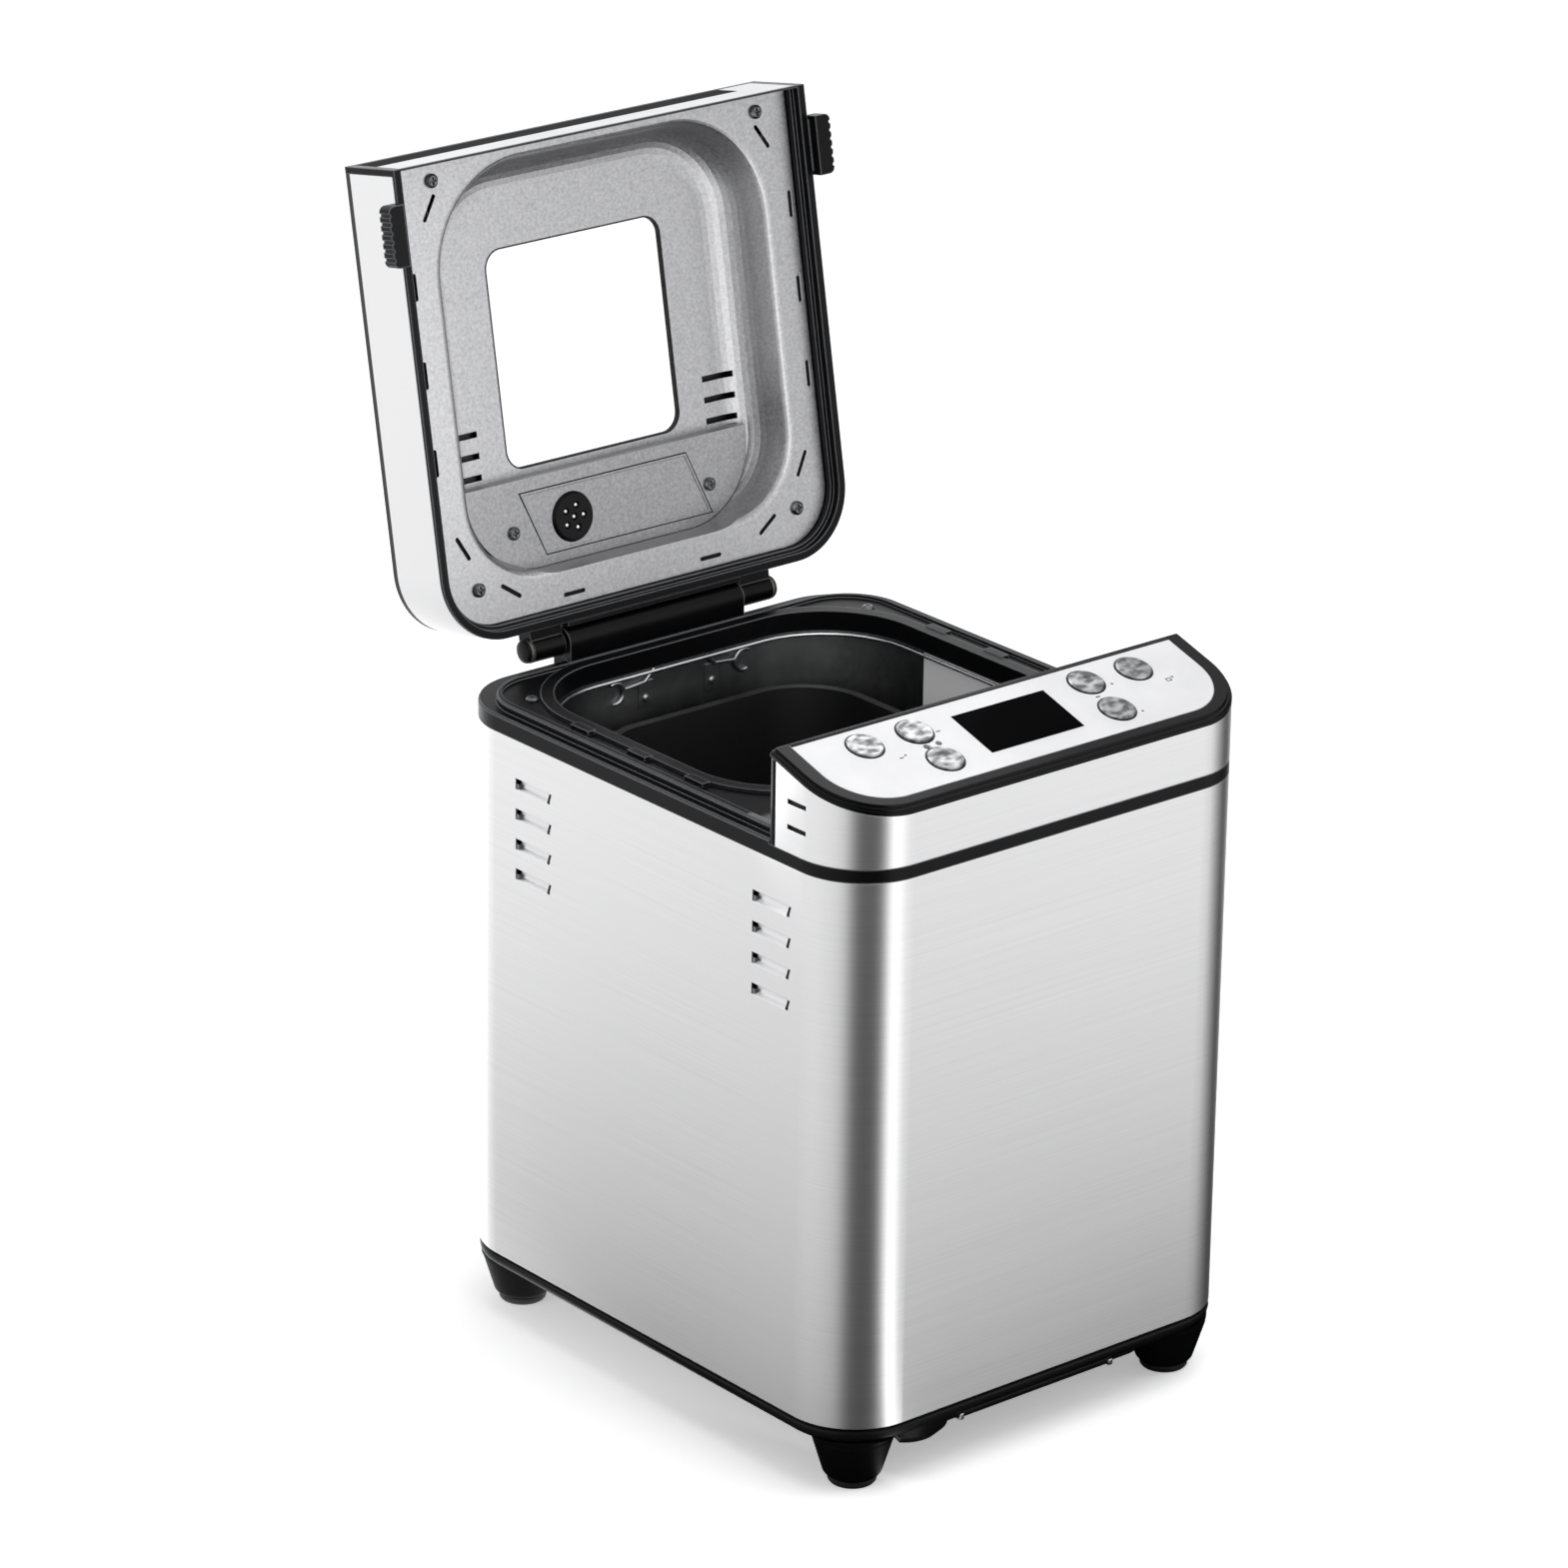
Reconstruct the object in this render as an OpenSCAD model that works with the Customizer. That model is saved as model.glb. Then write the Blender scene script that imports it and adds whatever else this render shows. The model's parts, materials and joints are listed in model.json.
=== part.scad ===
// Bread machine: brushed steel body on a black tray, sloping control housing at
// the front, and a steel lid with a window that hinges at the rear. X is to the
// right, Y to the back and Z up. The lid stands open, which is how the part is
// stored, and the origin is under the middle of that open outline, on the table.

/* [Body] */
// Width of the steel body
body_w = 224; // [210:1:250]
// Depth of the steel body, front to back
body_d = 268; // [256:1:300]
// Radius of the body's vertical corners
corner_r = 32; // [24:1:36]
// Height of the steel wrapper
wrap_h = 244; // [240:1:270]
// Thickness of the steel sheet
sheet_t = 0.8; // [0.6:0.1:1.2]

/* [Base] */
// Height of the tapered legs with their pads, below the tray
leg_h = 25; // [18:1:40]
// Radius of a leg where it meets the tray
leg_top_r = 17.5; // [15:0.5:18]
// Radius of a leg at its foot
leg_foot_r = 13; // [11:0.5:15]
// Distance of the legs from the body's sides
leg_inset = 23.5; // [22:0.5:30]
// Visible height of the tray's rim
tray_rim_h = 7; // [6:0.5:12]
// Thickness of the tray's floor
tray_t = 2.5; // [2:0.5:4]
// Thickness of the rubber pads
pad_t = 3; // [2:0.5:5]

/* [Louvres] */
// Number of louvres in a group
louvre_n = 4; // [2:1:6]
// Distance between louvres
louvre_pitch = 13.7; // [11:0.1:16]
// Length of a louvre
louvre_l = 23.5; // [18:0.5:28]
// Height of a louvre
louvre_h = 5; // [4:0.5:7]
// Depth that a louvre is pressed in
louvre_in = 2; // [1.5:0.1:3]
// Distance of the highest louvre below the steel's top edge
louvre_down = 19.6; // [12:0.1:40]
// Distance of the front group's middle from the body's front
louvre_front = 51.2; // [48:0.1:64]
// Distance of the rear group's middle from the body's back
louvre_rear = 59; // [48:0.1:72]

/* [Top frame] */
// Height of the ledge above the steel, where the lid lands
ledge_h = 8; // [6:0.5:12]
// Height of the shoulder above the ledge
shoulder_h = 3.6; // [2:0.1:6]
// Width of the ledge
ledge_w = 4.2; // [3.5:0.1:6]
// Depth of the deck below the shoulder's top
deck_drop = 1.6; // [1:0.1:3]
// Thickness of the frame's moulded walls
frame_t = 2.2; // [1.8:0.1:3]

/* [Chamber] */
// Distance of the baking chamber from the body's sides
chamber_side = 20; // [19:0.5:24]
// Distance of the chamber behind the control housing
chamber_front = 25; // [23:0.5:30]
// Distance from the body's back face to the chamber
chamber_back = 18; // [17:0.5:22]
// Radius of the chamber's corners
chamber_r = 45; // [40:1:50]
// Distance of the pan and the drive ahead of the chamber's middle
pan_forward = 1.5; // [0:0.5:3]
// Height of the chamber's floor above the tray, for the drive
chamber_up = 54.5; // [52:0.5:64]
// Depth of the chamber's rim below the deck
chamber_sink = 8; // [5:0.5:12]
// Width of the black collar round the chamber
collar_w = 5; // [4:0.5:7]

/* [Bread pan] */
// Distance of the pan's rim from the chamber's sides
pan_side = 24; // [22:0.5:32]
// Distance of the pan's rim from the chamber's front and back
pan_end = 10; // [9:0.5:16]
// Depth of the pan's rim below the chamber's rim
pan_sink = 18; // [14:0.5:30]
// Radius of the pan's corners at its rim
pan_r = 34; // [30:1:38]
// Inward lean of the pan's walls, rim to floor
pan_draft = 8; // [5:0.5:10]
// Thickness of the pan's wall
pan_t = 1.5; // [1.2:0.1:2]
// Height of the pan's floor above the chamber's floor
pan_stand = 30; // [26:0.5:32]
// Radius of the wire in the pan's handle
bail_r = 2.2; // [1.8:0.1:2.6]

/* [Drive] */
// Radius of the drive shaft and of the paddle's shaft
shaft_r = 4; // [3.5:0.1:5]
// Radius of the large pulley
pulley_r = 44; // [36:1:48]
// Radius of the motor's pulley
motor_pulley_r = 9; // [7:0.5:12]
// Width of the drive belt
belt_w = 6; // [5:0.5:7]
// Thickness of the drive belt
belt_t = 2; // [1.5:0.1:2.6]
// Radius of the motor's can
motor_r = 31; // [28:0.5:32]
// Height of the motor's can
motor_h = 58; // [50:1:66]
// Radial gap of every running fit
running_gap = 0.05; // [0.02:0.01:0.1]

/* [Control housing] */
// Depth of the control housing, front to back
housing_d = 53; // [50:1:58]
// Height of the housing's steel at the front
housing_h = 22; // [20:1:28]
// Height of the black band below the housing's steel
band_h = 6; // [5:0.5:7.5]
// Slope of the control panel, in degrees
panel_slope = 16.8; // [12:0.2:20]
// Height of the black bezel above the steel
bezel_h = 3.5; // [3:0.1:5]
// Distance of the silver plate from the housing's front and sides
plate_inset = 6.5; // [5:0.5:9]
// Thickness of the silver plate
plate_t = 1.2; // [1:0.1:2]

/* [Controls] */
// Radius of a button
button_r = 7.8; // [6.5:0.1:7.9]
// Height of a button above the plate
button_h = 1; // [0.8:0.1:1.6]
// Travel of a button
button_travel = 1; // [0.6:0.1:1.2]
// Distance of the inner buttons from the middle
button_inner = 47; // [42:0.5:50]
// Distance of the outer buttons from the middle
button_outer = 73.6; // [68:0.5:78]
// Distance between the two rows of buttons
button_rows = 20.3; // [19:0.1:22]
// Width of the display
display_w = 50.4; // [44:0.2:56]
// Height of the display, measured up the slope
display_l = 27.2; // [22:0.2:30]
// Radius of an indicator light
lamp_r = 1.3; // [1:0.1:1.4]

/* [Lid] */
// Height of the lid over its rim
lid_h = 35.2; // [33:0.2:42]
// Angle to which the lid opens, in degrees
lid_open = 100.5; // [92:0.5:106]
// Distance of the lid's back edge from the body's back face
lid_back = 6.5; // [6:0.5:9]
// Gap between the lid and what it closes against
lid_gap = 0.4; // [0.3:0.1:1]
// Height of the black rim below the lid's steel
lid_rim_h = 1.6; // [1.2:0.1:3]
// Depth of the inner panel's flange above the lid's edge
flange_up = 7; // [6:0.2:9]
// Space between the inner panel's floor and the outer steel
floor_gap = 2; // [1.6:0.1:3]
// Distance of the dish from the lid's sides
dish_side = 20.5; // [19:0.5:24]
// Distance of the dish from the lid's front edge
dish_front = 3.6; // [3.4:0.1:6]
// Distance of the dish from the lid's back edge
dish_back = 20.5; // [18:0.5:24]
// Radius of the dish's front corners
dish_front_r = 50; // [42:1:54]
// Radius of the dish's back corners
dish_back_r = 38; // [34:1:44]
// Thickness of the inner panel
dish_t = 1; // [0.8:0.1:1.5]
// Width of the window
window_w = 96.6; // [80:0.2:100]
// Distance of the window from the lid's back edge
window_back = 63.5; // [61:0.5:80]
// Distance of the window from the lid's front edge
window_front = 47.6; // [44:0.2:49]
// Radius of the window's corners
window_r = 9; // [6:0.5:14]

/* [Hinge] */
// Distance of the hinge axis behind the body's back face
hinge_back = 3; // [2.5:0.1:4]
// Height of the hinge axis above the ledge
hinge_up = 7.3; // [7:0.1:9]
// Radius of the frame's hinge barrel
barrel_r = 7; // [6:0.1:7]
// Half the length of the frame's hinge barrel
barrel_half = 48.5; // [42:0.5:50]
// Width of each lid ear
ear_w = 17; // [13:0.5:20]
// Radius of the lid's ears
ear_r = 5.5; // [5.2:0.1:6.5]
// Radius of the hinge pins
pin_r = 2; // [1.6:0.1:2.2]

/* [Hidden] */
$fn = 48;

// Heights above the table
wrap_z0 = leg_h + tray_rim_h;
wrap_z1 = wrap_z0 + wrap_h;
ledge_z = wrap_z1 + ledge_h;
shoulder_z = ledge_z + shoulder_h;
deck_z = shoulder_z - deck_drop;
deck_t = 2.4;
tray_z = leg_h + tray_t;
// The body is centred on the Y axis of its own frame
front_y = -body_d / 2;
back_y = body_d / 2;
side_x = body_w / 2;
housing_y = front_y + housing_d;

// Chamber and pan share one centre, where the drive comes up
chamber_w = body_w - 2 * chamber_side;
chamber_y1 = back_y - chamber_back;
chamber_y0 = housing_y + chamber_front;
chamber_l = chamber_y1 - chamber_y0;
drive_y = (chamber_y0 + chamber_y1) / 2 - pan_forward;
chamber_z1 = deck_z - chamber_sink;
chamber_z0 = tray_z + chamber_up;
chamber_t = 0.8;
collar_gap = 0.6;
pan_z0 = chamber_z0 + pan_stand;
pan_z1 = chamber_z1 - pan_sink;
pan_h = pan_z1 - pan_z0;
pan_w = chamber_w - 2 * pan_side;
pan_l = chamber_l - 2 * pan_end;

// Drive train
frame_z = chamber_z0 - 22;
frame_plate_t = 2;
frame_w = 150;
motor_y = front_y + motor_r + 5;
motor_bolt = motor_r * 0.7;
motor_gap = 6;
motor_z0 = frame_z + motor_gap;
pulley_h = 9;
pulley_z = frame_z - frame_plate_t - 6 - pulley_h;
belt_gap = 0.3;
belt_span = drive_y - motor_y;
belt_lean = asin((pulley_r - motor_pulley_r) / belt_span);
seat_r = 33;
floor_r = 20;
bearing_r = shaft_r + running_gap + 8;
seat_h = 12;
coupling_z = chamber_z0 + 5;
coupling_h = 9;
seat_z = chamber_z0 + seat_h;

// Control panel: its own frame starts at the front edge of the bezel's top
panel_z = wrap_z1 + band_h + housing_h + bezel_h;
panel_len = housing_d / cos(panel_slope);
board_drop = 12.5;
board_t = 1.6;
switch_h = 3.5;
button_clear = 0.25;
button_flange_t = 0.9;
stem_r = 2.5;
stem_end = board_drop - switch_h - button_travel - 0.15;

// Lid, in its closed place
lid_y0 = housing_y + lid_gap;
lid_y1 = back_y - lid_back;
lid_z0 = ledge_z + lid_gap;
lid_z1 = lid_z0 + lid_h;
lid_r = corner_r - 1;
rim_t = 3.6;
flange_z = lid_z0 + flange_up;
flange_half = side_x - 6;
dish_h = lid_h - flange_up - dish_t - floor_gap - sheet_t;
dish_w = body_w - 2 * dish_side;
dish_y0 = lid_y0 + dish_front;
dish_y1 = lid_y1 - dish_back;
floor_z = flange_z + dish_h;
window_y0 = lid_y0 + window_front;
window_y1 = lid_y1 - window_back;
glass_t = floor_gap + sheet_t - 0.8;
glass_z = lid_z1 - 0.2 - glass_t;
glass_lap = 6;
gasket_lap = 8;
end_t = 3;
vent_z = floor_z - 7.4;
vent_y0 = window_y1 + 2.5;
hinge_y = back_y + hinge_back;
hinge_z = ledge_z + hinge_up;
ear_x = barrel_half + 1.2;
bush_r = pin_r + 1.4;
pin_in = 12;

// The open lid reaches furthest back at its top front edge, and sets the origin
open_reach = (hinge_y - lid_y0) * -cos(lid_open) + (lid_z1 - hinge_z) * sin(lid_open);
origin_y = (front_y + hinge_y + open_reach) / 2;

// ---------------------------------------------------------------- shared shapes

// Puts the body's own frame on the part's origin
module stand() {
  translate([0, -origin_y, 0]) children();
}

// Swings a closed lid piece to its open place
module lid_pose() {
  stand() translate([0, hinge_y, hinge_z]) rotate([-lid_open, 0, 0])
    translate([0, -hinge_y, -hinge_z]) children();
}

// Frame of the sloping panel: X right, Y up the slope, Z out of the panel
module on_panel() {
  stand() translate([0, front_y, panel_z]) rotate([panel_slope, 0, 0]) children();
}

// One copy on each side of the middle
module both_sides() {
  for (side = [0, 1]) mirror([side, 0, 0]) children();
}

// Plan outline centred in X, from y0 to y1, with its front and back corner radii
module outline(w, y0, y1, front_radius, back_radius) {
  translate([-w / 2, y0 + front_radius]) square([w, y1 - y0 - front_radius - back_radius]);
  if (front_radius > 0) {
    translate([-w / 2 + front_radius, y0]) square([w - 2 * front_radius, front_radius]);
    for (s = [-1, 1]) translate([s * (w / 2 - front_radius), y0 + front_radius]) circle(front_radius);
  }
  if (back_radius > 0) {
    translate([-w / 2 + back_radius, y1 - back_radius]) square([w - 2 * back_radius, back_radius]);
    for (s = [-1, 1]) translate([s * (w / 2 - back_radius), y1 - back_radius]) circle(back_radius);
  }
}

// Outline with round front corners, cut straight at the back
module front_rounded(w, y0, y1, radius) {
  intersection() {
    outline(w, y0, y0 + 4 * radius, radius, 0);
    translate([-w, y0 - radius]) square([2 * w, y1 - y0 + radius]);
  }
}

// Outline with round back corners, cut straight at the front
module back_rounded(w, y0, y1, radius) {
  intersection() {
    outline(w, y1 - 4 * radius, y1, 0, radius);
    translate([-w, y0]) square([2 * w, y1 - y0 + radius]);
  }
}

// The body's outline, drawn in by a distance
module body_outline(inset) {
  outline(body_w - 2 * inset, front_y + inset, back_y - inset, corner_r - inset, corner_r - inset);
}

// The lid's outline: square at the front, round at the back, drawn in by a distance
module lid_outline(inset, front_inset) {
  outline(body_w - 2 * inset, lid_y0 + front_inset, lid_y1 - inset, 0, lid_r - inset);
}

// Carries a wall section round an outline. In the section, x is the distance
// inwards from the outline and y is the height.
module swept(w, y0, y1, front_radius, back_radius) {
  side_l = y1 - y0 - front_radius - back_radius;
  for (side = [0, 1]) mirror([side, 0, 0]) {
    translate([w / 2, y1 - back_radius, 0]) rotate([90, 0, 0]) linear_extrude(side_l)
      mirror([1, 0]) children();
    translate([w / 2 - back_radius, y1 - back_radius, 0]) rotate_extrude(angle = 90)
      translate([back_radius, 0]) mirror([1, 0]) children();
    translate([w / 2 - front_radius, y0 + front_radius, 0]) rotate([0, 0, -90])
      rotate_extrude(angle = 90) translate([front_radius, 0]) mirror([1, 0]) children();
  }
  translate([-w / 2 + front_radius, y0, 0]) rotate([90, 0, 90])
    linear_extrude(w - 2 * front_radius) children();
  translate([-w / 2 + back_radius, y1, 0]) rotate([90, 0, 90])
    linear_extrude(w - 2 * back_radius) mirror([1, 0]) children();
}

// Points of an arc about a centre
function arc(cx, cy, r, a0, a1, n) =
  [for (i = [0:n]) let (a = a0 + (a1 - a0) * i / n) [cx + r * cos(a), cy + r * sin(a)]];

// A rod between two points
module rod(from, to, r) {
  d = to - from;
  translate(from) rotate([0, acos(d[2] / norm(d)), atan2(d[1], d[0])]) cylinder(h = norm(d), r = r);
}

// A pan-head screw standing on z = 0, with its shank below
module screw(head_r, head_h, shank_r, shank_l) {
  difference() {
    union() {
      cylinder(h = head_h * 0.55, r = head_r);
      translate([0, 0, head_h * 0.55]) cylinder(h = head_h * 0.45, r1 = head_r, r2 = head_r * 0.7);
    }
    for (turn = [0, 90]) rotate([0, 0, turn])
      translate([-head_r * 0.55, -head_r * 0.12, head_h * 0.5]) cube([head_r * 1.1, head_r * 0.24, head_h]);
  }
  translate([0, 0, -shank_l]) cylinder(h = shank_l, r = shank_r);
}

// ---------------------------------------------------------------- base

leg_x = side_x - leg_inset;
leg_y = back_y - leg_inset + 2;
belly_h = 6;
belly_w = 132;
belly_x = 59;
belly_y = front_y + 24;
spigot_r = 6;
post_r = 6;
post_x = 62;
post_front = motor_y - 18;
post_back = drive_y + 43;

module at_legs() {
  for (x = [-1, 1]) for (y = [-1, 1]) translate([x * leg_x, y * leg_y, 0]) children();
}

// The front posts start lower, in the belly
function post_z(y) = y < motor_y ? leg_h - belly_h : leg_h;

module at_posts() {
  for (x = [-1, 1]) for (y = [post_front, post_back]) translate([x * post_x, y, 0]) children();
}

// One tapered leg with a rounded foot, hollowed for the pad's stem, and its spigot
module leg() {
  foot_round = 4;
  rotate_extrude() difference() {
    polygon(concat([[0, pad_t]],
      arc(leg_foot_r - foot_round, pad_t + foot_round, foot_round, -90, -10, 5),
      arc(leg_top_r + 3, leg_h - 3, 3, 190, 95, 4), [[0, leg_h]]));
    square([3, pad_t + 5]);
  }
  translate([0, 0, leg_h - 1]) cylinder(h = tray_t + 3, r = spigot_r);
}

module legs() color("#1b1c1e") stand() intersection() {
  at_legs() leg();
  linear_extrude(wrap_z0) body_outline(0.7);
}

module base_tray() color("#1b1c1e") stand() {
  difference() {
    union() {
      translate([0, 0, leg_h]) linear_extrude(tray_t) body_outline(2.4);
      translate([0, 0, leg_h + 1.6]) linear_extrude(tray_rim_h - 2.8) body_outline(0.7);
      translate([0, 0, leg_h + 3]) linear_extrude(tray_rim_h - 3) body_outline(2);
      translate([0, 0, wrap_z0]) linear_extrude(8) body_outline(sheet_t + 0.2);
      // Shallow pan under the motor, and a round swelling beside it
      translate([0, 0, leg_h - belly_h]) linear_extrude(belly_h)
        outline(belly_w, front_y + 9, motor_y + 40, 10, 10);
      difference() {
        translate([-belly_x, belly_y, leg_h - 11]) union() {
          cylinder(h = 4, r1 = 15, r2 = 19);
          translate([0, 0, 4]) cylinder(h = 7, r1 = 19, r2 = 21);
        }
        at_legs() translate([0, 0, -1]) cylinder(h = leg_h + 1, r = leg_top_r + 3);
      }
    }
    at_legs() translate([0, 0, leg_h - 1]) cylinder(h = tray_t + 3, r = spigot_r);
    translate([0, 0, tray_z]) linear_extrude(40) body_outline(sheet_t + 0.2 + frame_t);
    for (s = [-1, 1]) translate([s * post_x, post_front, leg_h - 20]) cylinder(h = 40, r = 1.6);
    for (s = [-1, 1]) translate([s * post_x, post_back, leg_h - 20]) cylinder(h = 40, r = 1.6);
    translate([0, 0, leg_h - belly_h + tray_t]) linear_extrude(20)
      outline(belly_w - 5, front_y + 11.5, motor_y + 37.5, 7.5, 7.5);
    // Hollow of the swelling, round the post that stands in it, and a recess for its screw
    difference() {
      translate([-belly_x, belly_y, leg_h - 8.5]) cylinder(h = 20, r = 16);
      translate([-post_x, post_front, 0]) cylinder(h = leg_h + 20, r = post_r);
    }
    translate([-post_x, post_front, 0]) cylinder(h = leg_h - belly_h, r = 4.6);
    // Cooling slots in the floor
    for (x = [-3:3]) translate([x * 14 - 2.5, drive_y - 26, leg_h - 1]) cube([5, 50, tray_t + 2]);
    for (x = [-1, 0, 1]) translate([x * 12 + 14, motor_y - 12, leg_h - belly_h - 1])
      cube([4.5, 30, tray_t + 2]);
  }
  for (y = [post_front, post_back]) both_sides() translate([post_x, y, post_z(y)]) difference() {
    cylinder(h = frame_z - frame_plate_t - post_z(y), r = post_r);
    translate([0, 0, -1]) cylinder(h = frame_z - post_z(y) + 2, r = 1.6);
  }
}

module foot_pads() color("#0f0f10") stand() at_legs() {
  cylinder(h = 1, r1 = leg_foot_r - 3.4, r2 = leg_foot_r - 2.6);
  translate([0, 0, 1]) cylinder(h = pad_t - 1, r = leg_foot_r - 2.6);
  translate([0, 0, pad_t]) cylinder(h = 4.5, r = 2.9);
}

// Screws up into the posts from below, and down into them through the drive frame
module base_screws() color("#8d8f92") stand() {
  for (y = [post_front, post_back]) both_sides() translate([post_x, y, post_z(y)])
    rotate([180, 0, 0]) screw(4, 2.2, 1.5, 10);
  at_posts() translate([0, 0, frame_z]) screw(3.6, 2.4, 1.5, 12);
}

// ---------------------------------------------------------------- steel wrapper

module at_louvres() {
  both_sides() for (y = [front_y + louvre_front, back_y - louvre_rear]) for (i = [0:louvre_n - 1])
    translate([-side_x, y, wrap_z1 - louvre_down - i * louvre_pitch]) children();
}

// A strip pressed inwards between two slits, open at both ends
module louvre() {
  h = louvre_h / 2;
  lip = 1.2;
  translate([0, (louvre_l - 3) / 2, 0]) rotate([90, 0, 0]) linear_extrude(louvre_l - 3)
    polygon([[0, -h], [louvre_in, -h + lip], [louvre_in, h - lip], [0, h], [sheet_t, h],
      [louvre_in + sheet_t, h - lip], [louvre_in + sheet_t, -h + lip], [sheet_t, -h]]);
}

module body_wrap() color("#c9cacc") stand() {
  difference() {
    translate([0, 0, wrap_z0]) linear_extrude(wrap_h) difference() {
      body_outline(0);
      body_outline(sheet_t);
    }
    at_louvres() translate([-1, -louvre_l / 2, -louvre_h / 2]) cube([sheet_t + 2, louvre_l, louvre_h]);
    translate([gland_x, back_y + 1, gland_z]) rotate([90, 0, 0]) cylinder(h = sheet_t + 2, r = gland_r);
    for (i = [-4:4]) translate([i * 9 - 1.5, back_y - sheet_t - 1, wrap_z0 + 22]) cube([3, sheet_t + 2, 26]);
  }
  at_louvres() louvre();
}

seam_w = 14;

module rear_seam_strip() color("#b9babd") stand() {
  translate([-seam_w / 2, back_y - 2 * sheet_t, wrap_z0 + 60]) cube([seam_w, sheet_t, wrap_h - 66]);
}

gland_r = 7;
gland_x = side_x - corner_r - 16;
gland_z = wrap_z0 + 26;

module cord_gland() color("#18191a") stand() translate([gland_x, back_y, gland_z]) rotate([-90, 0, 0])
  rotate_extrude() translate([4, 0]) polygon([[0, -7], [gland_r - 4.1, -7], [gland_r - 4.1, 0],
    [gland_r - 1.5, 0], [gland_r - 1.5, 1.2], [gland_r - 2.5, 2.2], [0.8, 2.2], [0, 1.4]]);

// ---------------------------------------------------------------- top frame

opening_w = chamber_w + 2 * collar_gap;
opening_y0 = chamber_y0 - collar_gap;
opening_y1 = chamber_y1 + collar_gap;
opening_r = chamber_r + collar_gap;
deck_screw_x = side_x - 18.4;
deck_screw_back = back_y - 35;
deck_screw_front = housing_y + 12;
axis_len = 2 * barrel_half;

// The shoulder lies just inside the closed lid's rim
module shoulder_outline(inset, y1) {
  shoulder_r = lid_r - rim_t - rim_gap - inset;
  outline(body_w - 2 * (ledge_w + inset), front_y + ledge_w, y1, shoulder_r, shoulder_r);
}

rim_gap = 0.6;
shoulder_y1 = lid_y1 - rim_t - rim_gap;

channel_w = lid_gap + end_t + rim_gap;
web_h = 6;
web_out = barrel_r * 0.7;

module top_frame() color("#202123") stand() {
  difference() {
    union() {
      // Outer band, with its ledge drawn in a little above the steel
      translate([0, 0, wrap_z1]) linear_extrude(ledge_h - 1) body_outline(0);
      translate([0, 0, ledge_z - 1]) linear_extrude(1) body_outline(0.5);
      translate([0, 0, ledge_z]) linear_extrude(shoulder_h - 0.8)
        shoulder_outline(0, shoulder_y1);
      translate([0, 0, shoulder_z - 0.8]) linear_extrude(0.8) shoulder_outline(0.6, shoulder_y1 - 0.6);
      // Locating skirt inside the steel
      translate([0, 0, wrap_z1 - 6]) linear_extrude(6) body_outline(sheet_t + 0.2);
    }
    // Hollow below the deck
    translate([0, 0, wrap_z1 - 7]) linear_extrude(ledge_z - deck_t - wrap_z1 + 7)
      body_outline(sheet_t + 0.2 + frame_t);
    // Deck sunk inside the shoulder
    translate([0, 0, deck_z]) linear_extrude(20) shoulder_outline(3.4, opening_y1 + collar_w + 0.2);
    // Channel where the lid's front wall lands
    translate([-side_x - 1, front_y, ledge_z]) cube([body_w + 2, housing_d + channel_w, 20]);
    // Chamber opening
    translate([0, 0, wrap_z1]) linear_extrude(40)
      outline(opening_w, opening_y0, opening_y1, opening_r, opening_r);
    // The band is lower under the control housing, and wires pass through there
    translate([-side_x - 1, front_y - 1, skin_z0]) cube([body_w + 2, housing_d + 1, 40]);
    translate([-30, front_y + 14, wrap_z1 - 8]) cube([60, 22, 40]);
    for (x = [-1, 1]) for (y = [deck_screw_front, deck_screw_back])
      translate([x * deck_screw_x, y, wrap_z1]) cylinder(h = 30, r = 1.7);
  }
  // Floor under the housing, and the hinge barrel on its rear web
  difference() {
    translate([0, 0, wrap_z1 + band_h - deck_t]) linear_extrude(deck_t) intersection() {
      body_outline(1);
      translate([-side_x, front_y]) square([body_w, housing_d]);
    }
    translate([-30, front_y + 14, wrap_z1 - 8]) cube([60, 22, 40]);
  }
  difference() {
    union() {
      translate([-barrel_half, hinge_y, hinge_z]) rotate([0, 90, 0]) cylinder(h = axis_len, r = barrel_r);
      translate([-barrel_half, hinge_y - barrel_r, ledge_z - web_h])
        cube([axis_len, back_y - hinge_y + barrel_r, hinge_z - ledge_z + web_h]);
      translate([-barrel_half, back_y - 1, ledge_z - web_h])
        cube([axis_len, hinge_back + 1 + web_out, web_h]);
      translate([-barrel_half, hinge_y - 1, ledge_z - web_h / 2])
        cube([axis_len, 1 + web_out, hinge_z - ledge_z]);
    }
    for (s = [-1, 1]) translate([s * (barrel_half + 1), hinge_y, hinge_z]) rotate([0, -90 * s, 0])
      cylinder(h = pin_in + 1, r = pin_r);
  }
}

module deck_screws() color("#6f7174") stand() {
  for (x = [-1, 1]) for (y = [deck_screw_front, deck_screw_back])
    translate([x * deck_screw_x, y, deck_z]) screw(2.8, 1.8, 1.5, 7);
}

// Collar that trims the deck's opening and holds the chamber's rim
hook_y = chamber_y0 + chamber_l / 2 - 10.5;
hook_pitch = chamber_l / 2 - chamber_r - 3;

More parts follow.
